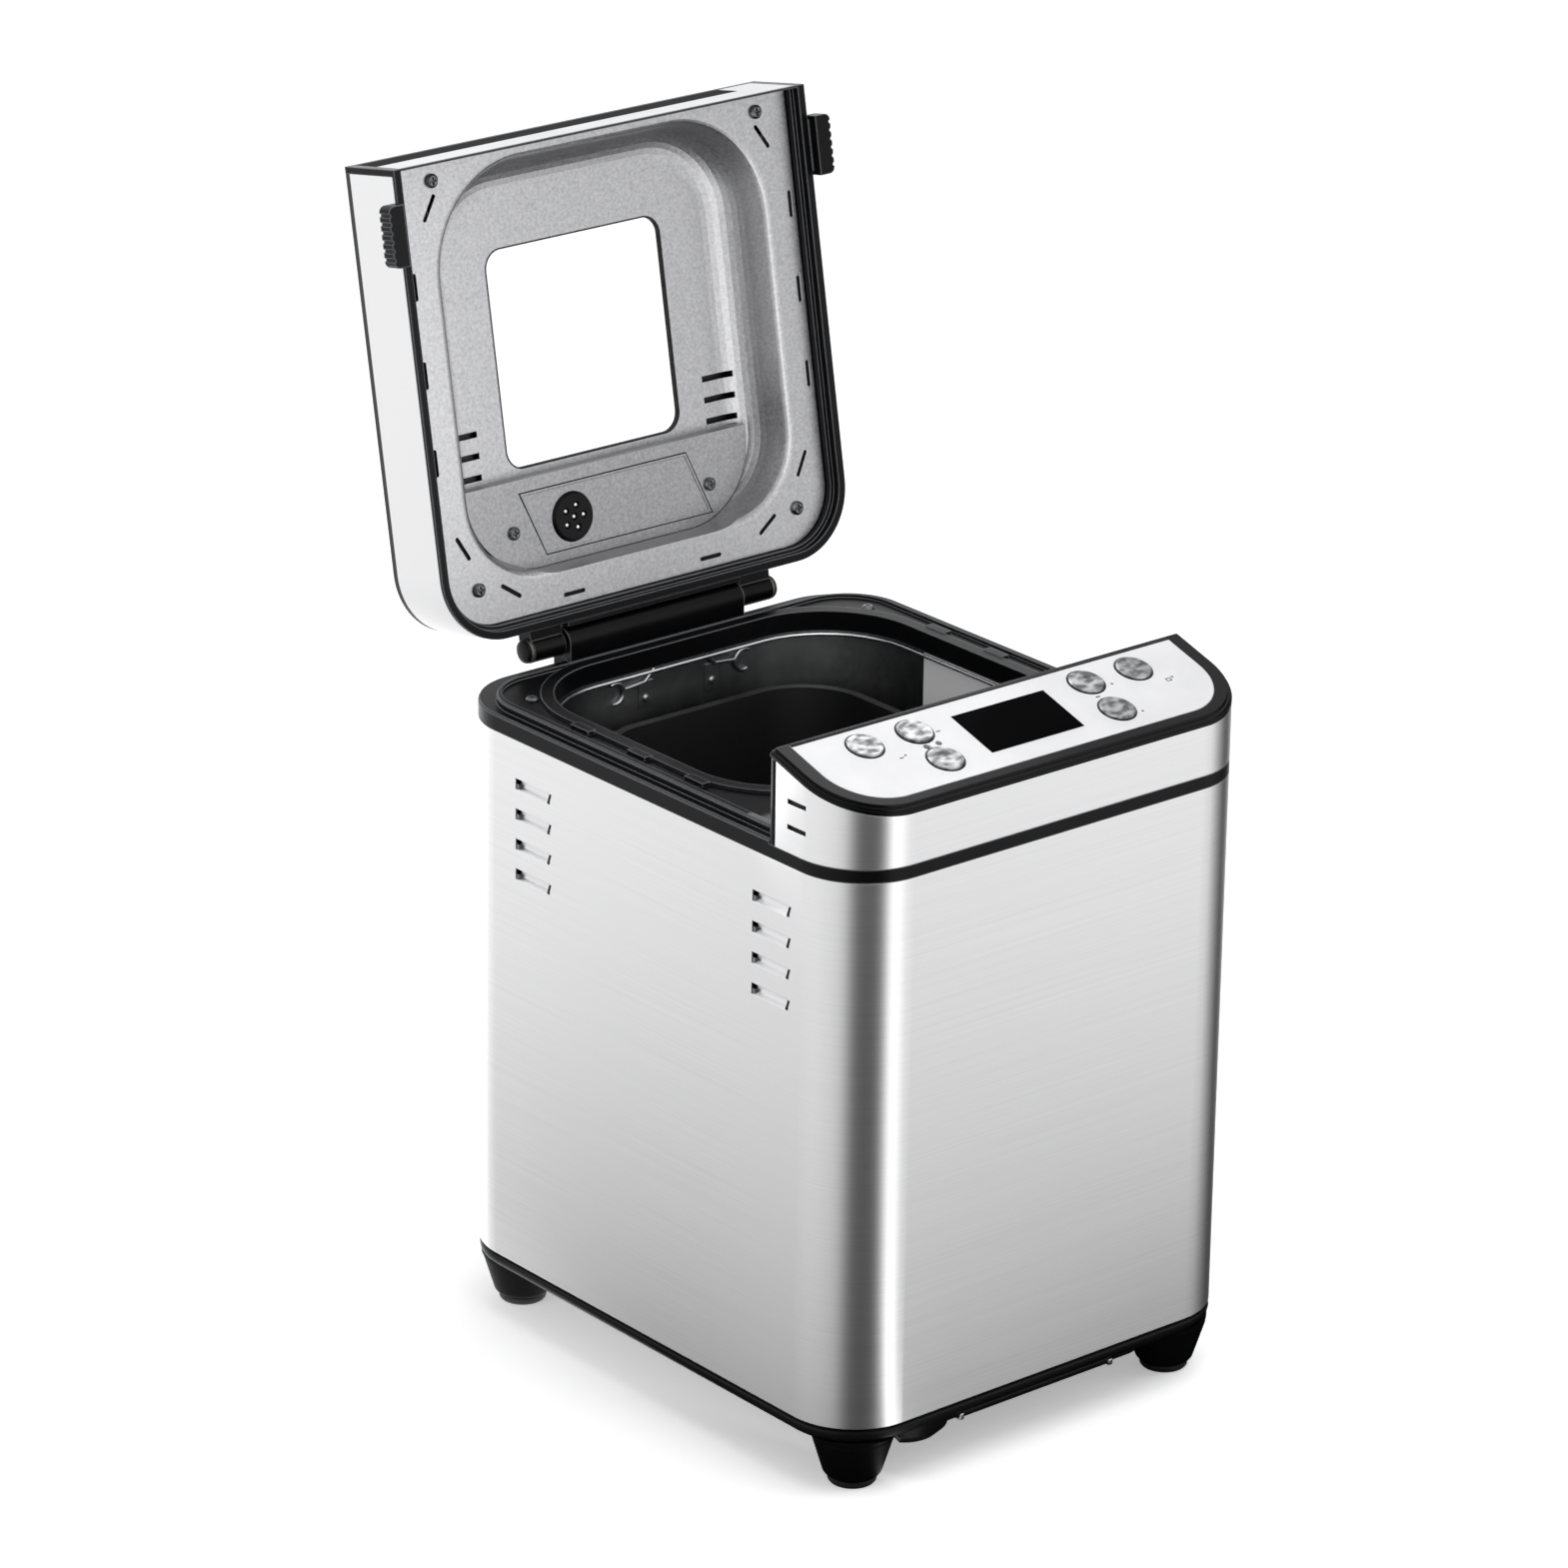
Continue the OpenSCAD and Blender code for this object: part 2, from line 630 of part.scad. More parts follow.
module collar() color("#2a2b2d") stand() {
  translate([0, 0, deck_z]) linear_extrude(1.4) difference() {
    outline(opening_w + 2 * collar_w, opening_y0 - collar_w, opening_y1 + collar_w,
      opening_r + collar_w, opening_r + collar_w);
    outline(opening_w - 2, opening_y0 + 1, opening_y1 - 1, opening_r - 1, opening_r - 1);
  }
  translate([0, 0, chamber_z1]) linear_extrude(chamber_sink) difference() {
    outline(opening_w, opening_y0, opening_y1, opening_r, opening_r);
    outline(opening_w - 2, opening_y0 + 1, opening_y1 - 1, opening_r - 1, opening_r - 1);
  }
  // Hooks that snap the collar to the deck
  for (y = [-1, 0, 1]) both_sides()
    translate([opening_w / 2 + collar_w - 1, hook_y + y * hook_pitch - 6, deck_z]) cube([4.2, 12, 1.9]);
}

// ---------------------------------------------------------------- baking chamber

foot_fillet = 12;

// Section of the chamber's wall: rolled rim, straight wall and rounded foot
module chamber_section() {
  polygon(concat(
    [[-5, chamber_z1 - chamber_t], [-5, chamber_z1], [0, chamber_z1]],
    [[0, chamber_z0 + foot_fillet]],
    arc(foot_fillet, chamber_z0 + foot_fillet, foot_fillet, 180, 270, 6),
    [[foot_fillet + 6, chamber_z0], [foot_fillet + 6, chamber_z0 - chamber_t]],
    arc(foot_fillet, chamber_z0 + foot_fillet, foot_fillet + chamber_t, 270, 180, 6),
    [[-chamber_t, chamber_z1 - chamber_t]]));
}

terminal_x = motor_r + 5;
heater_z = chamber_z0 + 16;
sensor_x = 20;
sensor_z = chamber_z0 + 92;

module chamber() color("#7d7f82") stand() {
  difference() {
    union() {
      swept(chamber_w, chamber_y0, chamber_y1, chamber_r, chamber_r) chamber_section();
      translate([0, 0, chamber_z0 - chamber_t]) linear_extrude(chamber_t)
        outline(chamber_w - 2 * foot_fillet - 8, chamber_y0 + foot_fillet + 4,
          chamber_y1 - foot_fillet - 4, chamber_r - foot_fillet - 4, chamber_r - foot_fillet - 4);
    }
    translate([0, drive_y, chamber_z0 - 5]) cylinder(h = 10, r = floor_r);
    for (s = [-1, 1]) translate([s * terminal_x, chamber_y0 + 2, heater_z]) rotate([90, 0, 0])
      cylinder(h = 6, r = 5);
    translate([sensor_x, chamber_y0 + 2, sensor_z]) rotate([90, 0, 0]) cylinder(h = 6, r = 4);
    for (x = [-1, 1]) translate([x * spring_x, chamber_y1 - 2, spring_z - 8]) rotate([-90, 0, 0])
      cylinder(h = 6, r = 1.3);
  }
}

spring_x = 18.5;
spring_z = chamber_z1 - 5;

// Wire springs on the back wall that grip the pan's rim
module pan_springs() color("#a4a6a9") stand() both_sides() translate([0, chamber_y1, 0]) {
  wire_r = 0.9;
  knee = [spring_x + 1, -wire_r, spring_z];
  rod([spring_x + 12, -wire_r, spring_z - 1], knee, wire_r);
  translate(knee) sphere(wire_r);
  rod(knee, [spring_x - 4, -wire_r, spring_z + 5], wire_r);
  translate([spring_x + 17.5, -1, spring_z - 2]) rotate([90, 0, 0]) rotate([0, 0, 60])
    rotate_extrude(angle = 230) translate([4.8, 0]) circle(0.95, $fn = 16);
  difference() {
    translate([spring_x - 4, -0.6, spring_z - 12]) cube([8, 0.6, 12]);
    translate([spring_x, 1, spring_z - 8]) rotate([90, 0, 0]) cylinder(h = 3, r = 1.25);
  }
}

module spring_rivets() color("#c8cacd") stand() for (x = [-1, 1])
  translate([x * spring_x, chamber_y1 - 0.6, spring_z - 8]) rotate([90, 0, 0]) {
    cylinder(h = 1, r1 = 2, r2 = 1.1);
    translate([0, 0, -3.2]) cylinder(h = 3.2, r = 1.2);
    translate([0, 0, -2.4]) cylinder(h = 1, r = 2);
  }

tube_r = 3.3;
loop_gap = 7;
loop_w = chamber_w - 2 * loop_gap;
loop_y0 = chamber_y0 + loop_gap;
loop_y1 = chamber_y1 - loop_gap;
loop_r = chamber_r - loop_gap;
turn_r = 8;

// Tubular heating element: one loop low in the chamber, its ends out at the front
module heating_element() color("#54575a") stand() translate([0, 0, heater_z]) {
  both_sides() {
    rod([terminal_x + turn_r, loop_y0, 0], [loop_w / 2 - loop_r, loop_y0, 0], tube_r);
    translate([loop_w / 2 - loop_r, loop_y0 + loop_r, 0]) rotate([0, 0, -90])
      rotate_extrude(angle = 90) translate([loop_r, 0]) circle(tube_r);
    rod([loop_w / 2, loop_y0 + loop_r, 0], [loop_w / 2, loop_y1 - loop_r, 0], tube_r);
    translate([loop_w / 2 - loop_r, loop_y1 - loop_r, 0]) rotate_extrude(angle = 90)
      translate([loop_r, 0]) circle(tube_r);
    translate([terminal_x + turn_r, loop_y0 - turn_r, 0]) rotate([0, 0, 90])
      rotate_extrude(angle = 90) translate([turn_r, 0]) circle(tube_r);
    rod([terminal_x, loop_y0 - turn_r, 0], [terminal_x, loop_y0 - turn_r - 8, 0], tube_r);
  }
  rod([-loop_w / 2 + loop_r, loop_y1, 0], [loop_w / 2 - loop_r, loop_y1, 0], tube_r);
}

// Steel saddles that hold the element off the chamber's walls
module heater_clips() color("#9a9c9f") stand() both_sides() {
  gap = tube_r + 0.1;
  clip_w = 8;
  for (y = [loop_y0 + loop_r + clip_w, loop_y1 - loop_r - clip_w])
    translate([chamber_w / 2, y - clip_w / 2, heater_z]) {
      translate([-loop_gap + gap, 0, -gap - 1]) cube([loop_gap - gap, clip_w, 2 * gap + 2]);
      translate([-loop_gap - gap, 0, -gap - 1]) cube([2 * gap, clip_w, 1]);
      translate([-loop_gap - gap, 0, gap]) cube([2 * gap, clip_w, 1]);
    }
}

// Ceramic sleeves and spade terminals on the element's two ends
module heater_terminals() color("#d8d4c8") stand() for (s = [-1, 1])
  translate([s * terminal_x, chamber_y0 - chamber_t, heater_z]) rotate([90, 0, 0]) {
    difference() {
      union() {
        cylinder(h = 2, r = 7.5);
        cylinder(h = 9, r = 4.9);
      }
      translate([0, 0, -1]) cylinder(h = 12, r = tube_r + 0.05);
    }
    translate([-0.4, -3, 13 - chamber_t]) cube([0.8, 6, 9]);
  }

// Probe through the chamber's front wall, with its mounting plate
module temperature_sensor() color("#b9bbbe") stand()
  translate([sensor_x, chamber_y0, sensor_z]) rotate([90, 0, 0]) {
    translate([0, 0, -5]) cylinder(h = 14, r = 2.4);
    translate([0, 0, -5]) sphere(2.4);
    translate([-9, -6, chamber_t]) cube([18, 12, 1]);
    translate([0, 0, chamber_t]) cylinder(h = 4, r = 4.5);
  }

// ---------------------------------------------------------------- drive

module at_motor_bolts() {
  for (x = [-1, 1]) for (y = [-1, 1]) translate([x * motor_bolt, y * motor_bolt, 0]) children();
}

// Plate on the tray's posts that carries the motor and the bearing
module drive_frame() color("#9ea0a3") stand() {
  plate_y0 = post_front - 9;
  plate_y1 = post_back + 9;
  difference() {
    union() {
      translate([0, 0, frame_z - frame_plate_t]) linear_extrude(frame_plate_t)
        outline(frame_w, plate_y0, plate_y1, 9, 9);
      // Turned-up edges that stiffen the plate
      for (s = [-1, 1]) translate([s * (frame_w / 2 - 0.75) - 0.75, plate_y0 + 20, frame_z])
        cube([1.5, plate_y1 - plate_y0 - 40, 7]);
    }
    translate([0, motor_y, frame_z - 5]) cylinder(h = 10, r = 12);
    translate([0, drive_y, frame_z - 5]) cylinder(h = 10, r = bearing_r + 0.05);
    at_posts() translate([0, 0, frame_z - 5]) cylinder(h = 10, r = 2);
    at_motor_bolts() translate([0, motor_y, frame_z - 5]) cylinder(h = 10, r = 2.1);
    translate([-14, (motor_y + drive_y) / 2 - 16, frame_z - 5]) cube([28, 30, 10]);
  }
}

// Cast housing: bearing tube, flange on the drive frame and the seat for the pan
module bearing_housing() color("#a9abad") stand() translate([0, drive_y, 0]) {
  bore = shaft_r + running_gap;
  under = chamber_z0 - chamber_t;
  rotate_extrude() polygon([
    [bore, frame_z - 7], [bearing_r, frame_z - 7], [bearing_r, frame_z], [34, frame_z],
    [34, frame_z + 3], [bearing_r + 4, frame_z + 3], [bearing_r + 4, under - 3], [seat_r, under - 3],
    [seat_r, under], [floor_r - 0.1, under], [floor_r - 0.1, chamber_z0],
    [seat_r, chamber_z0], [seat_r, seat_z], [seat_r - 4, seat_z], [seat_r - 4, chamber_z0 + 3],
    [bearing_r - 4, chamber_z0 + 3], [bearing_r - 4, chamber_z0 + 4.6], [bore, chamber_z0 + 4.6]]);
  // Ribs between the tube and the two flanges
  for (turn = [0:60:300]) rotate([0, 0, turn]) translate([bearing_r + 3, -1.2, frame_z + 2])
    cube([13, 2.4, under - frame_z - 4]);
}

module drive_shaft() color("#c3c5c8") stand() translate([0, drive_y, pulley_z - 2])
  cylinder(h = coupling_z + 4 - pulley_z + 2, r = shaft_r);

// Hub with two upright dogs that turn the paddle's shaft
module drive_coupling() color("#8f9194") stand() translate([0, drive_y, coupling_z]) {
  difference() {
    cylinder(h = 4, r = 13);
    translate([0, 0, -1]) cylinder(h = 6, r = shaft_r);
  }
  for (s = [0, 180]) rotate([0, 0, s]) translate([6.5, -4, 3.5]) cube([4.5, 8, coupling_h - 3.5]);
}

// Pulley with a flange on both sides of the belt's seat, revolved
module flanged_pulley(r, h) {
  flange = (h - belt_w) / 2 - belt_gap;
  rotate_extrude() {
    translate([shaft_r, 0]) square([r - shaft_r, h]);
    for (z = [0, h - flange]) translate([shaft_r, z]) square([r + belt_t - shaft_r, flange]);
  }
}

module large_pulley() color("#3a3c3e") stand() translate([0, drive_y, pulley_z]) {
  web_w = pulley_r - 16;
  difference() {
    flanged_pulley(pulley_r, pulley_h);
    // Web between the hub and the rim, thinned and pierced
    for (z = [-1, pulley_h - 3]) translate([0, 0, z]) rotate_extrude() translate([11, 0]) square([web_w, 4]);
    for (turn = [0:60:300]) rotate([0, 0, turn]) translate([11 + web_w / 2, 0, -1])
      cylinder(h = pulley_h + 2, r = web_w * 0.28);
  }
}

// Outline round both pulleys at a distance from their seats
module belt_outline(off) {
  big = pulley_r + off;
  small = motor_pulley_r + off;
  big_y = drive_y - big * sin(belt_lean);
  small_y = motor_y - small * sin(belt_lean);
  big_x = big * cos(belt_lean);
  small_x = small * cos(belt_lean);
  translate([0, drive_y]) circle(big);
  translate([0, motor_y]) circle(small);
  polygon([[-big_x, big_y], [-small_x, small_y], [small_x, small_y], [big_x, big_y]]);
}

module drive_belt() color("#121212") stand() translate([0, 0, pulley_z + (pulley_h - belt_w) / 2])
  linear_extrude(belt_w) difference() {
    belt_outline(belt_gap + belt_t);
    belt_outline(belt_gap);
  }

// Induction motor: laminated stack between two end bells
module motor() color("#8a8c8f") stand() translate([0, motor_y, motor_z0]) difference() {
  union() {
    cylinder(h = 9, r1 = motor_r * 0.72, r2 = motor_r * 0.86);
    translate([0, 0, 9]) cylinder(h = motor_h - 18, r = motor_r);
    translate([0, 0, motor_h - 9]) cylinder(h = 9, r1 = motor_r * 0.86, r2 = motor_r * 0.7);
    at_motor_bolts() cylinder(h = motor_h, r = 5);
  }
  translate([0, 0, -1]) cylinder(h = motor_h + 2, r = shaft_r + running_gap);
  for (turn = [0:45:315]) rotate([0, 0, turn]) translate([motor_r / 2, 0, motor_h - 5])
    cylinder(h = 6, r = 3);
  at_motor_bolts() translate([0, 0, -1]) cylinder(h = 10, r = 1.6);
}

// Rubber spacers that hold the motor off the plate
module motor_spacers() color("#1a1a1b") stand() translate([0, motor_y, frame_z])
  at_motor_bolts() difference() {
    cylinder(h = motor_gap, r = 6.5);
    translate([0, 0, -1]) cylinder(h = motor_gap + 2, r = 1.7);
  }

module motor_shaft() color("#c3c5c8") stand() translate([0, motor_y, pulley_z - 2])
  cylinder(h = motor_z0 + motor_h - 3 - pulley_z + 2, r = shaft_r);

module motor_pulley() color("#55585b") stand() translate([0, motor_y, pulley_z]) {
  flanged_pulley(motor_pulley_r, pulley_h);
  translate([0, 0, pulley_h]) difference() {
    cylinder(h = 4, r = 7);
    translate([0, 0, -1]) cylinder(h = 6, r = shaft_r);
  }
}

module run_capacitor() color("#e2e2df") stand() translate([frame_w / 2 - 18, motor_y + 4, frame_z]) {
  translate([-13, -13, 0]) cube([26, 26, 2]);
  translate([0, 0, 2]) cylinder(h = 40, r = 12.5);
  for (s = [-1, 1]) translate([s * 5 - 0.4, -3, 42]) cube([0.8, 6, 7]);
}

board_w = 110;
board_h = 62;
board_z = wrap_z1 - 12 - board_h;
board_y = front_y + 14;

// Mains board, screwed to two hangers under the frame's front deck
module power_board() color("#2f6b45") stand() {
  translate([-board_w / 2, board_y, board_z]) cube([board_w, 1.6, board_h]);
  translate([-42, board_y + 1.6, board_z + 10]) cube([26, 16, 30]);
  translate([-8, board_y + 1.6, board_z + 12]) cube([18, 15, 24]);
  translate([32, board_y + 1.6, board_z + 20]) rotate([-90, 0, 0]) cylinder(h = 20, r = 8);
  for (s = [-1, 1]) translate([s * 44 - 5, board_y - 8, board_z + 40]) {
    cube([10, 8, 10]);
    cube([10, 3, wrap_z1 + band_h - deck_t - board_z - 40]);
  }
}

// ---------------------------------------------------------------- control housing

// A slab between two heights below the panel's plane, as wide as the housing
module panel_slab(top, thick) {
  translate([0, front_y, panel_z]) rotate([panel_slope, 0, 0])
    translate([-side_x - 5, -30, top - thick]) cube([body_w + 10, 120, thick]);
}

// The housing's outline: round at the front, square at the back
module housing_outline(inset, back_inset) {
  front_rounded(body_w - 2 * inset, front_y + inset, housing_y - back_inset, corner_r - inset);
}

skin_z0 = wrap_z1 + band_h;
edge_r = 2;
skin_drop = bezel_h * cos(panel_slope);

module housing_skin() color("#c9cacc") stand() {
  difference() {
    translate([0, 0, skin_z0]) linear_extrude(60) difference() {
      housing_outline(0, 2 * edge_r);
      housing_outline(sheet_t, 0);
    }
    panel_slab(60 - skin_drop, 60);
    for (i = [0, 1]) both_sides()
      translate([-side_x - 1, housing_y - 23, skin_z0 + 10 + i * 11]) cube([sheet_t + 2, 11.5, 2.2]);
  }
}

// Screw posts in the front corners and along the back wall
module at_housing_posts() {
  corner_in = corner_r - (corner_r - sheet_t - frame_t - 3) * cos(45);
  both_sides() {
    translate([side_x - corner_in, front_y + corner_in, skin_z0]) children();
    translate([side_x - 22, housing_y - frame_t - 3, skin_z0]) children();
  }
}

// Moulded shell inside the steel: back wall, inner walls and screw posts
module housing_shell() color("#232426") stand() {
  difference() {
    union() {
      translate([0, 0, skin_z0]) linear_extrude(60) difference() {
        housing_outline(sheet_t + 0.1, 0);
        housing_outline(sheet_t + 0.1 + frame_t, frame_t);
      }
      // Rounded upright edges behind the steel
      translate([0, 0, skin_z0]) linear_extrude(60) both_sides()
        translate([side_x - edge_r, housing_y - edge_r]) circle(edge_r);
      at_housing_posts() cylinder(h = 60, r = 4);
    }
    panel_slab(60 - skin_drop, 60);
    at_housing_posts() translate([0, 0, 4]) cylinder(h = 60, r = 1.3);
  }
}

plate_w = body_w - 2 * plate_inset - 4;
plate_y1 = panel_len - 1.8;
plate_r = corner_r - plate_inset;

// The silver plate's outline on the panel, drawn in by a distance
module plate_outline(inset) {
  front_rounded(plate_w - 2 * inset, plate_inset + inset, plate_y1 - inset, plate_r - inset);
}

// Bezel: a black frame round the plate, its outer edge rolled over
module panel_bezel() color("#141516") stand() {
  roll = 2;
  difference() {
    union() {
      intersection() {
        translate([0, 0, skin_z0]) linear_extrude(80) housing_outline(0, 0);
        panel_slab(-roll, skin_drop - roll);
      }
      intersection() {
        translate([0, 0, skin_z0]) linear_extrude(80) housing_outline(0.7, 0.3);
        panel_slab(-roll / 2, roll / 2);
      }
      intersection() {
        translate([0, 0, skin_z0]) linear_extrude(80) housing_outline(2, 0.8);
        panel_slab(0, roll / 2);
      }
    }
    translate([0, front_y, panel_z]) rotate([panel_slope, 0, 0]) {
      translate([0, 0, -plate_t]) linear_extrude(20) plate_outline(0);
      translate([0, 0, -20]) linear_extrude(40) plate_outline(2.5);
    }
  }
}

button_mid = (plate_inset + plate_y1) / 2 + 0.6;
button_low = button_mid - button_rows / 2;
button_high = button_mid + button_rows / 2;
display_y = (plate_inset + plate_y1 - display_l) / 2;

// Places of the six buttons: [x, distance up the slope]
function button_place(i) = [
  [-button_outer, button_high], [-button_inner, button_high], [-button_inner, button_low],
  [button_inner, button_high], [button_inner, button_low], [button_outer, button_high]][i];

lens_foot = 0.8;
lens_up = 0.2;

function lamp_place(i) = [-button_inner + 4.6 - i * 6.6, button_mid];

module panel_plate() color("#d4d5d7") on_panel() difference() {
  translate([0, 0, -plate_t]) linear_extrude(plate_t) plate_outline(0.15);
  for (i = [0:5]) translate(concat(button_place(i), -5)) cylinder(h = 10, r = button_r + button_clear);
  for (i = [0, 1]) translate(concat(lamp_place(i), -5)) cylinder(h = 10, r = lamp_r);
  translate([-display_w / 2, display_y, -5]) cube([display_w, display_l, 10]);
}

module control_board() color("#2f6b45") on_panel() {
  board_y0 = 8;
  board_l = panel_len - 14;
  difference() {
    translate([-81, board_y0, -board_drop]) cube([162, board_l, board_t]);
    for (s = [-1, 1]) for (y = [board_y0 + 3, board_y0 + board_l - 3])
      translate([s * 32, y, -board_drop - 1]) cylinder(h = 4, r = 1.4);
  }
  for (i = [0:5]) translate(concat(button_place(i), -board_drop + board_t)) {
    translate([-3, -3, 0]) cube([6, 6, switch_h - board_t - 0.8]);
    cylinder(h = switch_h - board_t, r = 1.7);
  }
  // Posts that hang the board from the plate
  for (s = [-1, 1]) for (y = [board_y0 + 3, board_y0 + board_l - 3])
    translate([s * 32, y, -board_drop + board_t]) cylinder(h = board_drop - board_t - plate_t, r = 2.6);
}

module display_module() color("#3c4a3c") on_panel() difference() {
  translate([-display_w / 2 - 1.5, display_y - 1.5, -board_drop + board_t])
    cube([display_w + 3, display_l + 3, board_drop - board_t - plate_t - 0.05]);
  translate([-display_w / 2 + 2, display_y + 2, -plate_t - 0.8]) cube([display_w - 4, display_l - 4, 2]);
}

module display_window() color("#050506") on_panel()
  translate([-display_w / 2 + 0.1, display_y + 0.1, -plate_t - 0.05])
    cube([display_w - 0.2, display_l - 0.2, plate_t + 0.25]);

// Light pipes of the two indicator lights, through the plate
module indicator_lenses() color("#c8452f") on_panel() for (i = [0, 1])
  translate(concat(lamp_place(i), -plate_t - lens_foot)) {
    cylinder(h = plate_t + lens_foot + lens_up, r = lamp_r - 0.03);
    cylinder(h = lens_foot, r = lamp_r + 0.2);
  }

// One push button: dished cap, retaining flange under the plate and stem
module button(i) {
  flange_low = -plate_t - button_flange_t - 0.1;
  edge = 0.4;
  dish_ball = 20;
  color("#b9bbbe") on_panel() translate(button_place(i)) {
    difference() {
      union() {
        translate([0, 0, flange_low]) cylinder(h = button_h - edge - flange_low, r = button_r);
        translate([0, 0, button_h - edge]) cylinder(h = edge, r1 = button_r, r2 = button_r - 0.5);
      }
      translate([0, 0, button_h + dish_ball - edge]) sphere(dish_ball, $fn = 96);
    }
    translate([0, 0, flange_low]) cylinder(h = button_flange_t, r = button_r + 0.8);
    translate([0, 0, -stem_end]) cylinder(h = stem_end - plate_t, r = stem_r);
  }
}

module button_left_outer() button(0);
module button_left_upper() button(1);
module button_left_lower() button(2);
module button_right_upper() button(3);
module button_right_lower() button(4);
module button_right_outer() button(5);

// ---------------------------------------------------------------- hinge

module hinge_pins() color("#c3c5c8") stand() both_sides()
  translate([barrel_half - pin_in, hinge_y, hinge_z]) rotate([0, 90, 0])
    cylinder(h = pin_in + 1.2 + ear_w - 0.4, r = pin_r);

// ---------------------------------------------------------------- lid

// The window's outline, drawn out by a distance
module window_outline(grow) {
  outline(window_w + 2 * grow, window_y0 - grow, window_y1 + grow, window_r + grow, window_r + grow);
}

ear_foot = 5.2;
arm_z = shoulder_z + lid_gap + 0.2;

module ear_notch(gap) {
  both_sides() translate([ear_x - gap, lid_y1 - 8, hinge_z - ear_r - gap])
    cube([ear_w + 2 * gap, 10, ear_foot + ear_r + 2 * gap]);
}

module lid_shell() color("#c9cacc") lid_pose() difference() {
  translate([0, 0, lid_z0 + lid_rim_h]) linear_extrude(lid_h - lid_rim_h) lid_outline(0, end_t);
  translate([0, 0, lid_z0]) linear_extrude(lid_h - sheet_t) lid_outline(sheet_t, 0);
  translate([0, 0, lid_z0]) linear_extrude(60)
    window_outline(gasket_lap);
  ear_notch(0.3);
}

// Black moulding: rim, stepped seat for the inner panel, front wall and hinge ears
module lid_frame() color("#1d1e20") lid_pose() {
  difference() {
    union() {
      translate([0, 0, lid_z0]) linear_extrude(lid_rim_h) lid_outline(0, 0);
      translate([0, 0, lid_z0 + lid_rim_h]) linear_extrude(flange_up + 3 - lid_rim_h)
        lid_outline(sheet_t + 0.1, 0.2);
      translate([-side_x, lid_y0, lid_z0]) cube([body_w, end_t, lid_h]);
    }
    // Step inside the rim, then the seat that the flange is screwed to
    translate([0, 0, lid_z0 - 1]) linear_extrude(shoulder_z + lid_gap - lid_z0 + 1) lid_outline(rim_t, 1);
    translate([0, 0, lid_z0 - 1]) linear_extrude(flange_up + 1 + dish_t) lid_outline(rim_t + 1.9, 1);
    translate([0, 0, lid_z0 - 1]) linear_extrude(40)
      outline(dish_w + 6, dish_y0 - 0.5, dish_y1 + 3, dish_front_r + 3, dish_back_r + 3);
    translate([-dish_w / 2, dish_y0 - 0.5, lid_z0 - 1]) cube([dish_w, 60, 60]);
    // Recess for the front panel
    translate([-side_x + 4, lid_y0 - 1, lid_z0 + 1.4]) cube([body_w - 8, 2, lid_h - 1.4 - 2.6]);
    at_lid_screws() translate([0, 0, flange_z]) cylinder(h = 10, r = 1.4);
  }
  // Two hinge ears with their arms
  both_sides() translate([ear_x, 0, 0]) difference() {
    union() {
      translate([0, hinge_y, hinge_z]) rotate([0, 90, 0]) cylinder(h = ear_w, r = ear_r);
      translate([0, lid_y1 - rim_t, arm_z])
        cube([ear_w, hinge_y - lid_y1 + rim_t, hinge_z + ear_foot - arm_z]);
    }
    translate([-1, hinge_y, hinge_z]) rotate([0, 90, 0]) cylinder(h = ear_w + 2, r = bush_r);
  }
}

module at_lid_screws() {
  for (x = [-1, 1]) for (y = [lid_y0 + 8.8, lid_y1 - 22])
    translate([x * (flange_half - 17.4), y, 0]) children();
}

module lid_end_panel() color("#c4c5c8") lid_pose()
  translate([-side_x + 4.1, lid_y0 + 0.1, lid_z0 + 1.5]) cube([body_w - 8.2, 0.9, lid_h - 1.4 - 2.8]);

// Section of the dish: small roll at the mouth, leaning wall, wide roll at the floor
dish_lean = 12;
mouth_r = 3.5;
foot_r = 15;

function dish_curve(grow) = concat(
  arc(0, mouth_r, mouth_r - grow, -90, -dish_lean, 4),
  arc(dish_run, dish_h - foot_r, foot_r + grow, 180 - dish_lean, 90, 7));

// Inward run from the mouth to the start of the flat floor
dish_run = mouth_r * cos(dish_lean) + foot_r * cos(dish_lean)
  + (dish_h - mouth_r - foot_r + (mouth_r + foot_r) * sin(dish_lean)) * tan(dish_lean);

// The dish as a solid, drawn out by a thickness; its mouth is on the flange's face
module dish_solid(grow) {
  translate([0, 0, flange_z]) swept(dish_w, dish_y0, dish_y1, dish_front_r, dish_back_r)
    polygon(concat([[dish_run + 4, dish_h + grow], [dish_run + 4, 0]], dish_curve(grow)));
  translate([0, 0, flange_z]) linear_extrude(dish_h + grow)
    outline(dish_w - 2 * dish_run - 7, dish_y0 + dish_run + 3.5, dish_y1 - dish_run - 3.5,
      dish_front_r - dish_run - 3.5, dish_back_r - dish_run - 3.5);
}

// Outline of the vent cover, which fills the dish's back end
module vent_outline(grow) {
  back_rounded(vent_w + 2 * grow, vent_y0 - grow, dish_y1 - 0.3 + grow, dish_back_r - 2 + grow);
}

// A slot between two points on the flange, cut through
module flange_slot(from, to) {
  d = to - from;
  translate([from[0], from[1], flange_z - 2]) rotate([0, 0, atan2(d[1], d[0])]) {
    translate([0, -0.9, 0]) cube([norm(d), 1.8, 6]);
    cylinder(h = 6, r = 0.9);
    translate([norm(d), 0, 0]) cylinder(h = 6, r = 0.9);
  }
}

